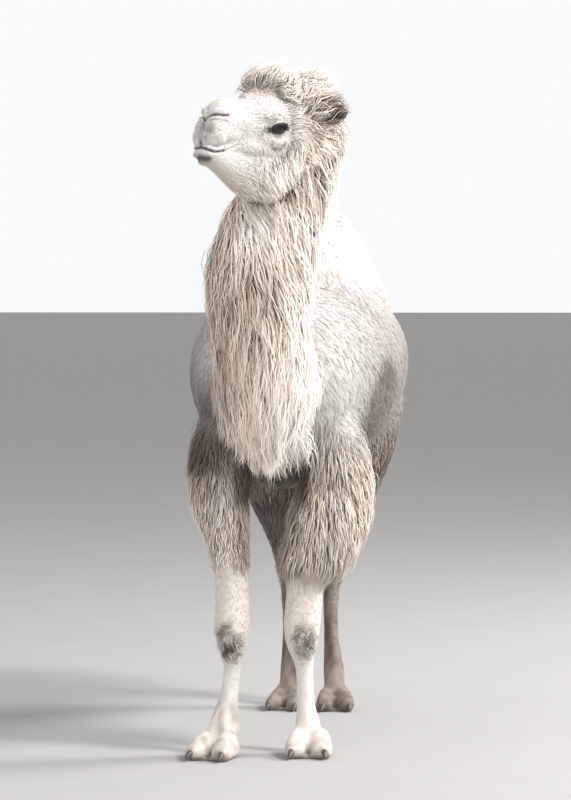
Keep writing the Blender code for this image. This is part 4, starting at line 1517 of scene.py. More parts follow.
def skin_finish():
    finish = Finish("short_coat_skin", Roughness=0.70, Sheen_Weight=0.20, Sheen_Roughness=0.5)
    fine = finish.noise(420.0, 3.0, (1.0, 1.0, 0.22))
    broad = finish.noise(26.0, 3.0)
    # Under the long wool the skin takes the dark root colour, as painted shade between the locks.
    shade = finish.mask("short") * -0.75 + 0.80 + (fine - 0.5) * 0.55 + (broad - 0.5) * 0.25
    shade = finish.node("ShaderNodeClamp", None, {"Value": shade})
    colour = hair_colour(finish, shade)
    finish.colour(finish.mix(finish.mask("dark"), colour, DARK))
    finish.bump(fine + broad * 0.5, 0.5, 0.0025)
    return finish.material


COAT_HAIR = coat_finish()
SKIN_HAIR = skin_finish()
print("finishes:", COAT_HAIR.name, SKIN_HAIR.name)

# %% [markdown]
# ## How a lock is grown
# A lock of hair is modelled as a thin closed blade with three sides and a pointed tip, because the model
# has to be solid and hair curves are not. Its path is combed one step at a time: it follows a field of
# directions, stays in the plane of the skin, and is held at its own height above it. Locks at several
# heights overlap as hair does. Neighbours share a wave and are drawn together at their tips.

# %% Comb the paths
ROOT_DEPTH = 0.004


def nearest(points):
    """The nearest place on the skin, its normal, and the height above it, for each point."""
    feet, normals = np.empty_like(points), np.empty_like(points)
    for i, point in enumerate(points.tolist()):
        foot, normal, _, _ = SKIN_TREE.find_nearest(point)
        feet[i], normals[i] = foot, normal
    return feet, normals, np.einsum("ij,ij->i", points - feet, normals)


def unit(vectors):
    return vectors / np.maximum(np.linalg.norm(vectors, axis=1), 1e-9)[:, None]


def comb(roots, normals, length, height, flow, steps, hang, arch):
    """Paths of locks from root to tip, each step turned into the skin's plane and held at its height."""
    paths, ups = [roots - normals * ROOT_DEPTH], [normals]
    here, out = roots, normals
    above = np.zeros(len(roots))
    for step in range(1, steps + 1):
        share = step / steps
        way = flow(here)
        loose = rise(above, 0.02, 0.09)[:, None] * hang
        way = unit(way - out * (np.einsum("ij,ij->i", way, out)[:, None] * (1 - loose)))
        ahead = here + way * (length / steps)[:, None]
        _, out, above = nearest(ahead)
        wanted = height * math.sin(math.pi * (0.15 + share * arch))
        move = wanted - above
        move = np.where(move > 0, move, move * (1 - hang) * 0.6)
        here = ahead + out * move[:, None]
        above = above + move
        paths.append(here)
        ups.append(out)
    return np.array(paths), np.array(ups)


print("combing over", len(SKIN_POINTS), "points of skin")


# %% Draw neighbours together
def group_of(roots, cell, rng):
    """A number for each root, shared by neighbours within about one cell."""
    jitter = rng.normal(scale=cell * 0.35, size=roots.shape)
    key = np.floor((roots + jitter) / cell).astype(np.int64)
    _, group = np.unique(key @ np.array((1, 4099, 16785407)), return_inverse=True)
    return group.ravel()


def waved(paths, ups, group, size, turns, draw, drift, rng):
    """The paths with a shared wave and drift, and with their tips drawn towards their group's middle."""
    steps = len(paths) - 1
    counts = np.bincount(group)
    phase = rng.uniform(0, 1, counts.size)[group] + rng.normal(scale=0.06, size=group.size)
    aside = rng.normal(scale=drift, size=counts.size)[group] + rng.normal(scale=drift / 3, size=group.size)
    made = paths.copy()
    for k in range(1, steps + 1):
        share = k / steps
        side = unit(np.cross(ups[k], paths[k] - paths[k - 1]))
        swing = np.sin(2 * math.pi * (turns * share + phase)) - np.sin(2 * math.pi * phase)
        bob = np.cos(2 * math.pi * (turns * share + phase)) - np.cos(2 * math.pi * phase)
        amount = size * min(1.0, share * 1.6)
        made[k] += side * (swing * amount + aside * share)[:, None] + ups[k] * (bob * amount * 0.35)[:, None]
        mean = np.stack([np.bincount(group, made[k][:, axis]) for axis in range(3)], axis=1)
        mean /= np.maximum(counts, 1)[:, None]
        made[k] += (mean[group] - made[k]) * (draw * share**1.5)
    return made


print("groups in a 3 cm cell:", group_of(SKIN_POINTS, 0.03, np.random.default_rng(1)).max() + 1)

# %% Blades round the paths
PATCH = 0.003
# How wide a blade is at each step, from its root on
TAPER = {2: (0.85, 0.80), 3: (0.70, 1.0, 0.62), 4: (0.60, 1.0, 0.85, 0.50), 5: (0.55, 0.95, 1.0, 0.80, 0.45)}


def blades(paths, ups, width, thick):
    """Points (lock, point, xyz) of three-sided blades, with how far along and across each point is."""
    steps, count = len(paths) - 1, paths.shape[1]
    points = np.empty((count, steps * 3 + 1, 3))
    along = np.empty(steps * 3 + 1)
    across = np.empty(steps * 3 + 1)
    for k in range(steps):
        onward = unit(paths[k + 1] - paths[k])
        side = unit(np.cross(ups[k], onward))
        lift = unit(np.cross(onward, side))
        half = (width * TAPER[steps][k] / 2)[:, None]
        rise_by = (thick * TAPER[steps][k])[:, None]
        points[:, 3 * k] = paths[k] - side * half
        points[:, 3 * k + 1] = paths[k] + side * half
        points[:, 3 * k + 2] = paths[k] + lift * rise_by
        along[3 * k:3 * k + 3] = k / steps
        across[3 * k:3 * k + 3] = (-1, 1, 0)
    points[:, -1] = paths[-1]
    along[-1], across[-1] = 1, 0
    return points, along, across


def blade_corners(steps):
    """Corners of one blade's faces: a closed root, three sides for each step, and the tip."""
    faces = [(0, 1, 2)]
    for k in range(steps - 1):
        a, b = 3 * k, 3 * k + 3
        for first, second in ((0, 2), (2, 1), (1, 0)):
            faces.append((a + first, a + second, b + second, b + first))
    last = 3 * (steps - 1)
    faces += [(last, last + 2, last + 3), (last + 2, last + 1, last + 3), (last + 1, last, last + 3)]
    return faces


def build_mesh(name, points, faces):
    """One mesh of many equal blades."""
    count, size = points.shape[:2]
    sizes = np.array([len(face) for face in faces])
    corners = np.concatenate([np.array(face) for face in faces])
    corners = (corners[None, :] + np.arange(count)[:, None] * size).ravel()
    totals = np.tile(sizes, count)
    mesh = bpy.data.meshes.new(name)
    mesh.vertices.add(count * size)
    mesh.vertices.foreach_set("co", (points + np.array(SLIDE)).astype(np.float32).ravel())
    mesh.loops.add(len(corners))
    mesh.loops.foreach_set("vertex_index", corners.astype(np.int32))
    mesh.polygons.add(len(totals))
    mesh.polygons.foreach_set("loop_start", np.concatenate([[0], np.cumsum(totals)[:-1]]).astype(np.int32))
    mesh.update(calc_edges=True)
    mesh.shade_smooth()
    return mesh, corners


def add_patches(mesh, corners, root_uv, along, across):
    """The bake map: each lock is a small patch at its root's place on the part's own unwrap."""
    spots = root_uv[:, None, :] + np.stack([across / 2, along - 0.5], axis=1)[None] * PATCH
    spots = np.clip(spots, 0, 1).reshape(-1, 2)
    layer = mesh.uv_layers.new(name="OFBake")
    layer.data.foreach_set("uv", spots[corners].astype(np.float32).ravel())


print("faces of a four-step blade:", len(blade_corners(4)))

# %% [markdown]
# ## Sowing and combing one piece of coat
# Roots are sown on the skin's own triangles, evenly by area and a little at random. A mask says where this
# piece grows and how thickly. Every lock then takes a length, a height, a width and a tone of its own, each
# from a seeded generator. The coat still isn't quite the same on every run: the union of body and head can
# number the skin's points in another order, and then single locks lie a little differently. Thick locks are
# shaded round. Thin ones are shaded flat, because round shading would turn their sides into dark flecks.

# %% Sow the roots
SKIN_FACES = np.array([tuple(face.vertices) for face in skin.data.polygons])
FACE_MIDDLES = SKIN_POINTS[SKIN_FACES].mean(axis=1)
FACE_EDGES = SKIN_POINTS[SKIN_FACES[:, 1:]] - SKIN_POINTS[SKIN_FACES[:, :1]]
FACE_AREAS = np.linalg.norm(np.cross(FACE_EDGES[:, 0], FACE_EDGES[:, 1]), axis=1) / 2
BARE_DARKNESS = 0.50
FACE_BARE = SKIN_FOLDS[SKIN_FACES].mean(axis=1) > BARE_DARKNESS


def sow(weights, count, rng, in_folds):
    """Roots and normals on the skin, spread evenly by area times weight. Dark folds stay bare by choice."""
    total = np.cumsum(FACE_AREAS * weights * (~FACE_BARE | in_folds))
    picks = (np.arange(count) + rng.uniform(0, 1, count)) / count * total[-1]
    faces = SKIN_FACES[np.searchsorted(total, picks)]
    a, b = rng.uniform(0, 1, (2, count))
    over = a + b > 1
    a, b = np.where(over, 1 - a, a), np.where(over, 1 - b, b)
    shares = np.stack([1 - a - b, a, b], axis=1)[:, :, None]
    return (SKIN_POINTS[faces] * shares).sum(axis=1), unit((SKIN_NORMALS[faces] * shares).sum(axis=1))


print("area of the skin in square metres:", round(float(FACE_AREAS.sum()), 2))

# %% Grow a piece
MASKS = ("tan", "brown", "grey", "short", "tone", "dark")
LOWEST_TIP = 0.004
FLAT_BELOW = 0.3
grown = {}


def grow(name, where, count, flow, unwrap, nodes, slot, steps=4, length=(0.05, 0.08), height=(0.004, 0.012),
         width=(0.005, 0.008), wave=(0.003, 1.0), cell=0.03, draw=0.35, hang=0.0, arch=0.62, size=None,
         stray=0.0, drift=0.05, deeper=None, dark=0.0, thick=0.32, seed=1):
    """One piece of coat over the CAD nodes, sown where the mask says and combed along the flow."""
    rng = np.random.default_rng(seed)
    roots, normals = sow(where(FACE_MIDDLES), count, rng, dark > 0)
    scale = size(roots) if size else np.ones(count)
    group = group_of(roots, cell, rng)
    lift = 0.5 * rng.uniform(0, 1, group.max() + 1)[group] + 0.5 * rng.uniform(0, 1, count)
    long = rng.uniform(*length, count) * scale
    high = (height[0] + (height[1] - height[0]) * lift) * scale
    high *= np.where(rng.uniform(0, 1, count) < stray, rng.uniform(1.2, 1.9, count), 1)
    wide = rng.uniform(*width, count) * np.minimum(1, 0.4 + 0.6 * scale)
    paths, ups = comb(roots, normals, long, high, flow, steps, hang, arch)
    paths = waved(paths, ups, group, wave[0] * scale, wave[1], draw, long.mean() * drift, rng)
    paths[1:, :, 2] = np.maximum(paths[1:, :, 2], LOWEST_TIP)
    points, along, across = blades(paths, ups, wide, wide * thick)
    faces = blade_corners(steps)
    mesh, corners = build_mesh(name, points, faces)
    if thick < FLAT_BELOW:
        mesh.shade_flat()
    add_patches(mesh, corners, unwrap(roots), along, across)
    # Low locks get a high tone, which the finish darkens towards the root colour: painted shade under the top
    # locks.
    tone = 0.85 * (1 - lift) + 0.15 * rng.uniform(0, 1, count) + (deeper(roots) if deeper else 0)
    per_lock = markings(roots)
    per_lock["tone"] = tone
    per_lock["dark"] = np.maximum(per_lock["dark"], dark)
    for mark in MASKS:
        add_mask(mesh, mark, np.repeat(per_lock[mark], len(along)))
    add_mask(mesh, "along", np.tile(along, count))
    add_mask(mesh, "across", np.tile(across, count))
    mesh.materials.append(COAT_HAIR)
    piece = bpy.data.objects.new(name, mesh)
    bpy.context.scene.collection.objects.link(piece)
    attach(piece, "root")
    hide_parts(*nodes)
    grown[name] = sum(len(face) - 2 for face in faces) * count
    print(name, count, "locks,", grown[name], "triangles")
    return piece


# %% [markdown]
# ## Unwraps
# Each lock's colour has a small patch at its root's place on a flat map of the part. A part of the body is
# close to a tube, so its map is the tube unrolled: how far round, and how far along.

# %% Unroll the parts
def turn_share(sideways, upwards):
    return np.arctan2(sideways, upwards) / (2 * math.pi) + 0.5


def span_share(values, low, high):
    return np.clip((values - low) / (high - low), 0, 1)


def unroll_trunk(points):
    x, y, z = points.T
    return np.stack([turn_share(x, z - 1.36), span_share(y, -0.85, 0.92)], axis=1)


def unroll_neck(points):
    x, y, z = points.T
    middle_x, middle_y = neck_middle(points)
    return np.stack([turn_share(x - middle_x, middle_y - y), span_share(z, 0.98, 2.25)], axis=1)


def unroll_head(points):
    side, back, up = to_head(points).T
    return np.stack([turn_share(side, up), span_share(back, -0.31, 0.32)], axis=1)


def unroll_legs(points):
    """The left legs fill the right half of the map, in strips for front and hind."""
    x, y, z = points.T
    front = y < 0
    middle_y = np.where(front, -0.62, 0.65)
    middle_x = np.where(x > 0, 0.11, -0.15)
    strip = (x > 0) * 2 + front * 1
    round_share = turn_share(x - middle_x, middle_y - y)
    return np.stack([(strip + round_share) / 4, span_share(z, 0.0, 1.15)], axis=1)


print("the left knee's place on the map:", np.round(unroll_legs(np.array(BROWN_KNEES[:1])), 2))

# %% [markdown]
# ## Which way the coat lies
# A coat grows away from the nose, back along the body and down the legs. On the neck it hangs down, fans out
# a little towards the left shoulder, and is swept to the left under the jaw. On the forearms it spreads from
# the elbow like the slats of a fan. Each part has a small function that gives the direction at any point,
# and the comb asks it at every step.

# %% Directions of growth
def directions(x, y, z):
    return unit(np.stack(np.broadcast_arrays(x, y, z), axis=1).astype(float))


def head_directions(x, y, z):
    return directions(x, y, z) @ HEAD_OUT[:3, :3].T


def trunk_flow(points):
    x, y, z = points.T
    low, rump = rise(-z, -1.30, -1.05), rise(y, 0.45, 0.80)
    return directions(0.25 * x, 0.62 - 0.45 * rump + 0.2 * low, -0.85 + 0.5 * low)


def hump_flow(points):
    x, _, z = points.T
    top = rise(z, 1.80, 1.96)
    return directions(0.4 * x + 0.5 * top, 0.45 + 0.1 * top, -0.65 + 0.5 * top)


def neck_flow(points):
    """Down, with the fringe at its foot spread to both sides, most of all by the left shoulder."""
    middle_x, _ = neck_middle(points)
    x, _, z = points.T
    offset = (x - middle_x) / 0.12
    high = rise(z, 1.35, 1.75)
    fan = (0.05 + 0.08 * high) * offset + 0.38 * high * np.maximum(offset + 0.2, 0)
    fan += rise(-z, -1.34, -1.14) * (x - 0.012) / 0.10 * np.where(x > 0.012, 0.08, 0.16)
    fan += 0.95 * near(points, (0.112, -0.780, 1.150), (0.062, 0.120, 0.100))
    swept = 0.75 * near(points, THROAT, (0.16, 0.16, 0.24)) ** 0.7
    return directions(fan * (1 - swept) + swept, -0.04, -1.0)


def leg_flow(points):
    return directions(0 * points[:, 0], 0.10, -1.0)


def chap_flow(points):
    x, y, _ = points.T
    side = np.sign(x)
    fan = (x - side * 0.175) * np.where(side > 0, 2.9, 1.5) + side * 0.02
    return directions(fan, (y + 0.60) * 1.2, -1.0)


def chest_flow(points):
    return directions(-0.8 * points[:, 0], -0.10, -1.0)


def tail_flow(points):
    return directions(0 * points[:, 0], 0.05, -1.0)


print("flow on the neck:", np.round(neck_flow(np.array([[0.1, -0.9, 1.7]])), 2))


# %% Directions of growth on the head
def head_flow(points):
    """Back from the nose, down the cheeks, and out and down in the ruff."""
    side, back, up = to_head(points).T
    low = rise(-up, 0.0, 0.08)
    down = low * rise(back, -0.17, -0.03)
    ruff = rise(back, 0.06, 0.15) * rise(-up, -0.06, 0.02)
    over_brow = rise(up, 0.03, 0.09)
    out = np.sign(side) * (0.25 * over_brow + 0.42 * ruff * rise(np.abs(side), 0.02, 0.09))
    under = rise(-up, 0.13, 0.19)
    onward = (1.0 - 1.10 * down * (1 - under)) * (1 - ruff) + (0.60 + 0.3 * under) * ruff
    lift = (0.18 - 0.30 * low - 0.90 * down) * (1 - ruff) - 0.85 * ruff
    return head_directions(out, onward, lift)


TUFT_ROOT = np.array((0.012, -0.040, 0.120))


def crown_flow(points):
    """The front tuft spreads from one spot over the brow. Behind it the wool falls back and out."""
    local = to_head(points)
    side, back, up = local.T
    front = (1 - rise(back, 0.02, 0.09))[:, None]
    tuft = unit(local - TUFT_ROOT) + (0, 0.25, 0.80)
    rear = np.stack([side * 5.0, 0.65 + 0 * up, 0.95 - 1.6 * rise(back, 0.16, 0.28)], axis=1)
    way = tuft * front + rear * (1 - front)
    edge = ((1 - rise(over_hairline(local), 0.020, 0.060)) * rise(back, 0.01, 0.05))[:, None]
    fringe = np.stack([0.45 * np.sign(side), 0.55 + 0 * up, -0.75 + 0 * up], axis=1)
    return unit(way * (1 - edge) + fringe * edge) @ HEAD_OUT[:3, :3].T


print("flow on the crown:", np.round(crown_flow(from_head(np.array([[0.0, 0.05, 0.20]]))), 2))

# %% [markdown]
# ## The wool of the neck
# The neck carries the longest wool: wavy locks a hand long that hang to a fringe over the chest. They are
# grown in two pieces, above and below the middle of the neck. The wool's tone carries painted light and
# shade: it is pale right down to its roots on the side that faces the lamp, low down and in the jaw's shadow,
# and elsewhere deeper in tone between the locks, most of all low on the right.

# %% Neck and beard
NECK_PARTING = 1.52
PARTING_BLEND = 0.001


def neck_above(points):
    return on_neck(points) * rise(points[:, 2], NECK_PARTING - PARTING_BLEND, NECK_PARTING + PARTING_BLEND)


def neck_below(points):
    return on_neck(points) * (1 - neck_above(points))


def neck_light_and_shade(points):
    """Painted light and shade: paler on the lit left, low down and in the jaw's shadow, deeper low on the
    right.
    """
    offset, z = points[:, 0] - neck_middle(points)[0], points[:, 2]
    under_jaw = near(points, THROAT, (0.15, 0.12, 0.17)) ** 0.7
    low = 0.06 * rise(-z, -1.62, -1.42) + 0.40 * rise(-z, -1.42, -1.20)
    low_right = 0.34 * rise(-offset, 0.02, 0.14) * rise(-z, -1.60, -1.35)
    to_left = (0.48 + 0.25 * rise(-z, -1.50, -1.25)) * rise(offset, 0.02, 0.13)
    return 0.42 + low_right - low - to_left - 0.95 * under_jaw


NECK_LOCKS = dict(
    flow=neck_flow, unwrap=unroll_neck, nodes=("neck",), slot="long_wool", steps=4, length=(0.12, 0.21),
    height=(0.008, 0.058), width=(0.0030, 0.0056), wave=(0.0078, 1.2), cell=0.027, draw=0.64, drift=0.13,
    stray=0.04, deeper=neck_light_and_shade, thick=0.24,
)
grow("coat_neck_upper", neck_above, 7600, hang=0.60, seed=21, **NECK_LOCKS)
grow("coat_neck_lower", neck_below, 8300, hang=0.92, seed=22, **NECK_LOCKS)

# %% [markdown]
# ## The head's coat
# Three lengths meet on the head. The face is covered by hair no longer than a fingernail, the cheeks and the
# back of the jaw by a ruff that hangs, and the crown by a mop of curls that starts in a dark line over the
# brow. Short hair would vanish as geometry from afar, so most of it is in the skin's bump.

# %% Where each length grows
def on_ears(points):
    side, back, up = to_head(points).T
    return (np.abs(side) > 0.100) & (back > 0.125) & (up > 0.0) & (up < 0.11) & on_head(points)


def on_crown(points):
    local = to_head(points)
    start = rise(over_hairline(local), -0.006, 0.008) * (local[:, 1] > -0.10)
    return start * on_head(points) * ~on_ears(points)


def bare_places(local):
    """True on the eyes and between the lips."""
    eyes = near(mirrored(local), (0.090, 0.000, -0.003), (0.03, 0.022, 0.014)) > 0.05
    return eyes | (near(local, (0, -0.265, -0.078), (0.07, 0.06, 0.012)) > 0.35)


def furred_head(points):
    return (1 - on_crown(points)) * on_head(points) * ~on_ears(points) * ~bare_places(to_head(points))


def on_face(points):
    """Everywhere but in the ruff, and thickest where the hair is shortest."""
    share = ruff_share(*to_head(points).T[1:])
    return furred_head(points) * (1 - share) / (0.15 + hair_size(points)) ** 0.8


def on_ruff(points):
    return furred_head(points) * ruff_share(*to_head(points).T[1:])


print("points of skin in the ruff:", int((on_ruff(SKIN_POINTS) > 0.5).sum()))

# %% Face and ruff
HEAD_LOCKS = dict(
    flow=head_flow, unwrap=unroll_head, nodes=("head",), length=(0.055, 0.085),
    width=(0.0024, 0.0042), wave=(0.0028, 1.0), draw=0.40, size=hair_size,
)
grow("coat_face", on_face, 9500, slot="short_coat", steps=3, height=(0.004, 0.026), cell=0.012, hang=0.25,
     arch=0.55, thick=0.24, seed=31, **HEAD_LOCKS)
grow("coat_ruff", on_ruff, 7000, slot="long_wool", steps=4, height=(0.006, 0.038), cell=0.020, hang=0.65,
     arch=0.50, stray=0.02, seed=32, **HEAD_LOCKS)

# %% [markdown]
# ## The crown
# The crown's wool stands up in a tuft over the brow, dips behind it, and rises again between the ears. It
# could be one lump with a rough surface, but its light edge comes from loose locks against the sky, so a few
# thin wisps are added that fan up and back from the dip.

# %% The mop and its wisps
TUFT_SPOTS = (-0.11, -0.05, 0.06, 0.115, 0.145, 0.25)
TUFT_SIZES = (0.50, 1.1, 1.0, 0.45, 1.25, 1.15)
WISP_ROOT = (0.020, 0.165, 0.160)


def crown_size(points):
    """High in the front tuft and at the back, low in the notch between them and on the cream patch."""
    local = to_head(points)
    size = np.interp(local[:, 1], TUFT_SPOTS, TUFT_SIZES)
    patch = near(local, (0.04, 0.175, 0.13), (0.06, 0.05, 0.05))
    edge = 1 - 0.35 * (1 - rise(over_hairline(local), 0.01, 0.05)) * rise(local[:, 1], 0.0, 0.05)
    return size * (1 - 0.55 * patch) * edge


def crown_depth(points):
    """Lighter towards the back of the crown, and deeper round the ears."""
    local = to_head(points)
    return 0.50 * ear_marks(local) - 0.18 - 0.14 * rise(local[:, 1], 0.08, 0.14)


grow("coat_crown", on_crown, 4500, crown_flow, unroll_head, ("head",), "long_wool", steps=5,
     length=(0.080, 0.145), height=(0.012, 0.064), width=(0.0028, 0.0052), wave=(0.0105, 1.5), cell=0.030,
     draw=0.74, hang=0.3, arch=0.42, size=crown_size, stray=0.08, deeper=crown_depth, seed=33)


def on_wisps(points):
    return near(to_head(points), WISP_ROOT, (0.060, 0.045, 0.060)) * on_crown(points)


def wisp_flow(points):
    """Up, back and out to both sides, fanning from the notch."""
    side, back, _ = to_head(points).T
    return head_directions(6.0 * side + 0.30, 0.50 + 5.0 * (back - WISP_ROOT[1]), 0.60)


grow("coat_wisps", on_wisps, 480, wisp_flow, unroll_head, ("head",), "long_wool", steps=5,
     length=(0.070, 0.125), height=(0.020, 0.088), width=(0.0022, 0.0040), wave=(0.0085, 1.2), cell=0.026,
     draw=0.60, drift=0.20, hang=0.85, arch=0.42, deeper=crown_depth, seed=36)

# %% [markdown]
# ## Eyelashes and ears
# A camel's long dark lashes keep out sand. They are locks too, but thin, nearly black, and sown only along
# the edge of the upper lid. The ears are small and furry, with brown hair combed out towards their tips.

# %% Grow the lashes
def on_lashes(points):
    """The edge of the upper eyelid."""
    local = to_head(points)
    on = np.zeros(len(points))
    for side in (-1, 1):
        centre, out, ahead, up = eye_axes(side)
        offset = local - centre
        way = unit(offset)
        angle_ahead = np.arctan2(way @ ahead, np.maximum(way @ out, 0.05))
        past = almond(angle_ahead, np.arcsin(np.clip(way @ up, -1, 1)))
        edge = (np.abs(past * EYE_RADIUS - 0.003) < 0.003) & (np.linalg.norm(offset, axis=1) < 0.045)
        on = np.maximum(on, edge * (way @ up > -0.12) * (way @ out > 0.05))
    return on


def lash_flow(points):
    side, back, _ = to_head(points).T
    return head_directions(1.1 * np.sign(side), 9.0 * back - 0.02, -0.30)


grow("coat_lashes", on_lashes, 560, lash_flow, unroll_head, ("head",), "brown_coat", steps=3,
     length=(0.010, 0.022), height=(0.004, 0.014), width=(0.0012, 0.0020), wave=(0.0006, 0.5), cell=0.006,
     draw=0.45, hang=1.0, arch=0.5, dark=0.95, seed=35)


# %% Grow the ears' hair
def ear_flow(points):
    side, _, _ = to_head(points).T
    return head_directions(0.75 * np.sign(side), 0.45, 0.10)


grow("coat_ears", on_ears, 1300, ear_flow, unroll_head, ("ear_left", "ear_right"), "brown_coat", steps=4,
     length=(0.020, 0.048), height=(0.002, 0.014), width=(0.0018, 0.0034), wave=(0.0030, 1.0), cell=0.012,
     draw=0.5, drift=0.12, hang=0.6, arch=0.4, seed=34)

# %% [markdown]
# ## The body's coat
# In its pale summer coat the body has short hair, two or three fingers long, that lies close. It is grown in
# halves, with more than ten thousand small flat locks in each, so that the skin nowhere shows as one smooth
# sheet. The humps end in a longer tuft.

# %% Trunk and humps
def on_humps(points):
    return on_trunk(points) * rise(points[:, 2], 1.63, 1.69)


def flank(side):
    def mask(points):
        return on_trunk(points) * (points[:, 0] * side > 0) * (1 - on_humps(points))
    return mask


TRUNK_LOCKS = dict(
    flow=trunk_flow, unwrap=unroll_trunk, nodes=("trunk",), slot="short_coat", steps=2, length=(0.032, 0.056),
    height=(0.001, 0.009), width=(0.0024, 0.0044), wave=(0.0010, 0.6), cell=0.022, draw=0.35, stray=0.03,
    thick=0.18,
)
grow("coat_trunk_left", flank(1), 10800, seed=41, **TRUNK_LOCKS)
grow("coat_trunk_right", flank(-1), 10800, seed=42, **TRUNK_LOCKS)


def hump_size(points):
    return 0.55 + 0.75 * rise(points[:, 2], 1.82, 1.97)


grow("coat_humps", on_humps, 4600, hump_flow, unroll_trunk, ("hump_front", "hump_rear"), "short_coat",
     steps=3, length=(0.040, 0.070), height=(0.002, 0.014), width=(0.0026, 0.0046), wave=(0.002, 0.9),
     cell=0.024, draw=0.40, hang=0.3, size=hump_size, stray=0.05, thick=0.20, seed=43)

# %% [markdown]
# ## Chest, legs and tail
# Below the shoulders the hair turns brown. It is long on the chest between the forelegs and on the forearms,
# where it ends in a clear edge above the knee. The shins carry the shortest coat of the body. On each knee a
# rough brown patch curls round its own middle, where the camel kneels. The tail ends in a tuft.

# %% Where the legs' hair grows
FORE_UPPER = ("foreleg_left_upper", "foreleg_right_upper")
HIND_UPPER = ("hindleg_left_upper", "hindleg_right_upper")
LOWER = tuple(f"{leg}_{part}" for leg in LEGS for part in ("lower", "foot"))


def under_chest(points):
    middle = 1 - rise(np.abs(points[:, 0]), 0.15, 0.22)
    level = rise(-points[:, 2], -1.20, -1.10) * rise(points[:, 2], 0.86, 0.90)
    return level * rise(-points[:, 1], 0.38, 0.48) * middle * ~on_neck(points)


def on_chaps(points):
    return on_foreleg(points) * leg_share(points) * rise(points[:, 2], 0.665, 0.695)


def chap_size(points):
    """Longer on the left foreleg towards the hem, and shorter on the right one."""
    left = rise(points[:, 0], -0.05, 0.05)
    hem = rise(-points[:, 2], -0.95, -0.75)
    return left * (0.95 + 0.15 * hem) + (1 - left) * (0.78 - 0.30 * hem)


def on_thighs(points):
    return on_hindleg(points) * leg_share(points) * rise(points[:, 2], 0.50, 0.56)


def on_shins(points):
    legs = on_foreleg(points) * rise(-points[:, 2], -0.70, -0.66)
    legs = np.maximum(legs, on_hindleg(points) * rise(-points[:, 2], -0.56, -0.50))
    return legs * rise(points[:, 2], 0.012, 0.030)


def shin_size(points):
    return 0.45 + 0.55 * rise(points[:, 2], 0.12, 0.45)


print("nodes below the knees:", ", ".join(LOWER))

# %% Grow the chest and legs
grow("coat_chest", under_chest, 1600, chest_flow, unroll_trunk, ("trunk",), "brown_coat", steps=4,
     length=(0.060, 0.100), height=(0.004, 0.020), width=(0.0030, 0.0055), wave=(0.004, 1.2), cell=0.026,
     draw=0.4, hang=0.6, stray=0.08, seed=51)
grow("coat_forelegs", on_chaps, 8000, chap_flow, unroll_legs, FORE_UPPER, "long_wool", steps=4,
     length=(0.070, 0.115), height=(0.004, 0.030), width=(0.0028, 0.0050), wave=(0.0034, 1.0), cell=0.024,
     draw=0.60, drift=0.10, hang=0.45, size=chap_size, stray=0.04, seed=52)
grow("coat_thighs", on_thighs, 3600, leg_flow, unroll_legs, HIND_UPPER, "brown_coat", steps=3,
     length=(0.040, 0.070), height=(0.002, 0.011), width=(0.0032, 0.0058), wave=(0.0015, 0.8), cell=0.024,
     draw=0.35, hang=0.2, stray=0.06, seed=53)
grow("coat_shins", on_shins, 7600, leg_flow, unroll_legs, LOWER, "short_coat", steps=2,
     length=(0.014, 0.026), height=(0.0006, 0.0030), width=(0.0018, 0.0032), wave=(0.0005, 0.5), cell=0.014,
     draw=0.2, size=shin_size, thick=0.14, seed=54)


# %% Grow the knees and tail
def on_knees(points):
    return np.maximum.reduce([near(points, knee, (0.060, 0.060, 0.085)) for knee in BROWN_KNEES])


def knee_flow(points):
    """Round and down from the middle of each knee's rough patch."""
    side = np.where(points[:, 0] > 0, BROWN_KNEES[0][0], BROWN_KNEES[1][0])
    off, up = points[:, 0] - side, points[:, 2] - BROWN_KNEES[0][2]
    return directions(14 * off - 10 * up, -0.10, -0.7 + 10 * off + 8 * up)


grow("coat_knees", on_knees, 700, knee_flow, unroll_legs, LOWER[:4:2], "brown_coat", steps=3,
     length=(0.020, 0.042), height=(0.002, 0.015), width=(0.0020, 0.0036), wave=(0.0050, 1.6), cell=0.016,
     draw=0.7, drift=0.25, stray=0.12, seed=56)
grow("coat_tail", on_tail, 800, tail_flow, unroll_trunk, ("tail",), "long_wool", steps=4,
     length=(0.070, 0.130), height=(0.004, 0.016), width=(0.003, 0.0055), wave=(0.003, 1.0), cell=0.030,
     draw=0.4, hang=1.0, seed=55)
print("coat triangles:", sum(grown.values()))

# %% [markdown]
# ## Finishing the skin
# The skin is slid to its place last, because all the combing was done in the drawing's own place. It stands
# for every solid of flesh.

# %% Place the skin
def place_skin():
    skin.data.materials.clear()
    skin.data.materials.append(SKIN_HAIR)
    skin.data.transform(Matrix.Translation(SLIDE))
    skin.data.shade_smooth()
    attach(skin, "root")
    flesh = [name for name in frame["nodes"] if not name.startswith(("eye_", "nail_"))]
    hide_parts(*flesh)
    return flesh


print("skin stands for", len(place_skin()), "solids")

# %% [markdown]
# ## Eyes and toenails
# A camel's eye is nearly black from a few steps away: a dark brown iris round a wide flat pupil, under a wet
# cornea. The ball is rounder than the solid's, and the iris is painted by the angle from the way that it
# looks. The nails are small dull claws of horn. Each is a loft through one short table, placed on its toe.

# %% Eyes
IRIS_EDGE = (math.radians(34), math.radians(38))
PUPIL = (0.30, 0.17)


def turned_ball(name, centre):
    bm = bmesh.new()
    bmesh.ops.create_uvsphere(bm, u_segments=40, v_segments=24, radius=1.0)
    shape = Matrix.Translation(centre) @ Matrix.Diagonal((*[EYE_RADIUS] * 3, 1.0))
    bmesh.ops.transform(bm, matrix=shape, verts=bm.verts)
    ball = as_object(name, bm)
    ball.data.shade_smooth()
    return ball


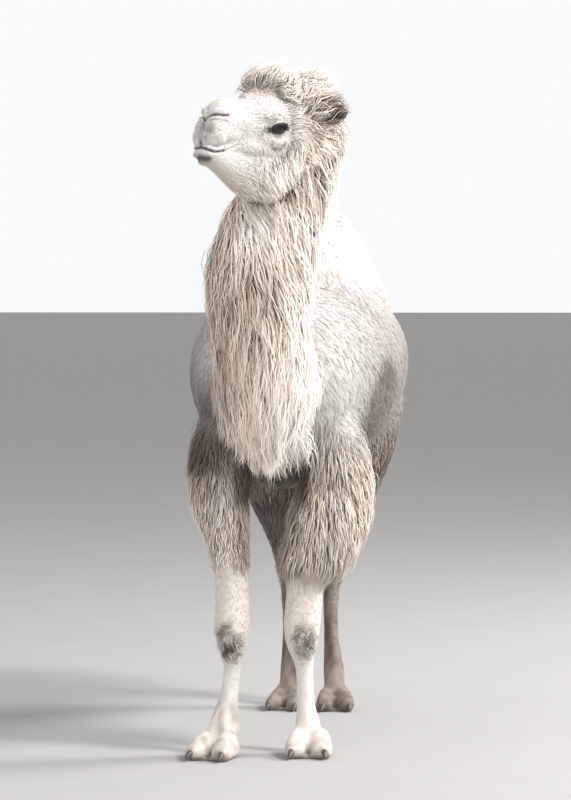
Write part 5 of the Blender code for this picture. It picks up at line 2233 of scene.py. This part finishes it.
def eye_finish():
    finish = Finish("wet_eye", Roughness=0.35, Specular_IOR_Level=0.25, Coat_Weight=0.4, Coat_Roughness=0.02)
    iris, pupil = finish.mask("iris"), finish.mask("pupil")
    fleck = finish.noise(600.0, 3.0)
    brown = finish.mix(fleck, paint(0.012, 0.007, 0.004), paint(0.040, 0.022, 0.012))
    colour = finish.mix(iris, paint(0.012, 0.009, 0.008), brown)
    finish.colour(finish.mix(pupil, colour, paint(0.002, 0.002, 0.002)))
    return finish.material


def make_eyes():
    finish = eye_finish()
    for side, name in ((1, "left"), (-1, "right")):
        _, out, ahead, up = eye_axes(side)
        place = middle_of_node(f"eye_{name}")
        ball = turned_ball(f"eyeball_{name}", place)
        local = (points_of(ball.data) - np.array(place)) @ HEAD_IN[:3, :3].T / EYE_RADIUS
        off_axis = np.arccos(np.clip(local @ out, -1, 1))
        flat = np.hypot(local @ ahead / PUPIL[0], local @ up / PUPIL[1])
        add_mask(ball.data, "iris", 1 - rise(off_axis, *IRIS_EDGE))
        add_mask(ball.data, "pupil", 1 - rise(flat, 0.9, 1.1))
        ball.data.materials.append(finish)
        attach(ball, "root")
        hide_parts(f"eye_{name}")


make_eyes()
print("the eyes look", round(math.degrees(EYE_TURN)), "degrees forwards")

# %% Toenails
def nail_finish():
    finish = Finish("dull_horn", Roughness=0.5, Coat_Weight=0.15, Coat_Roughness=0.4)
    bands = finish.noise(60.0, 3.0, (1.0, 0.25, 1.0))
    finish.colour(finish.mix(bands, paint(0.030, 0.024, 0.020), paint(0.110, 0.088, 0.070)))
    finish.bump(bands, 0.4, 0.001)
    return finish.material


# Along the nail from root to tip: how far forward, height of the middle, half width, half height
NAIL = (
    (-0.020, 0.030, 0.0080, 0.0070),
    (-0.006, 0.028, 0.0115, 0.0110),
    (0.006, 0.023, 0.0110, 0.0105),
    (0.015, 0.017, 0.0085, 0.0085),
    (0.022, 0.011, 0.0050, 0.0055),
    (0.026, 0.006, 0.0015, 0.0020),
)


def nail_name(place):
    """The solid nail that is nearest to the toe at this place."""
    names = [name for name in frame["nodes"] if name.startswith("nail_")]
    return min(names, key=lambda name: (middle_of_node(name) - place @ TOE_TIP).length)


def make_nails():
    """A curved claw for each toe, with its root inside the skin and its tip just off the floor."""
    finish = nail_finish()
    root = TOE[0][0]
    sections = [(Vector((0, root - out, z)), wide, high, high, 0) for out, z, wide, high in eased(NAIL, 4)]
    for _, _, step, middle, size, outwards in LEGS.values():
        for toe in (-1, 1):
            place = Matrix.Translation(SLIDE) @ toe_place(foot_place(middle, step, size, outwards), toe)
            bm = bmesh.new()
            add_loft(bm, sections, place)
            solid = nail_name(place)
            nail = as_object("horn_" + solid, bm)
            nail.data.shade_smooth()
            nail.data.materials.append(finish)
            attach(nail, "root")
            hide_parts(solid)


make_nails()
print("toenails:", 2 * len(LEGS))
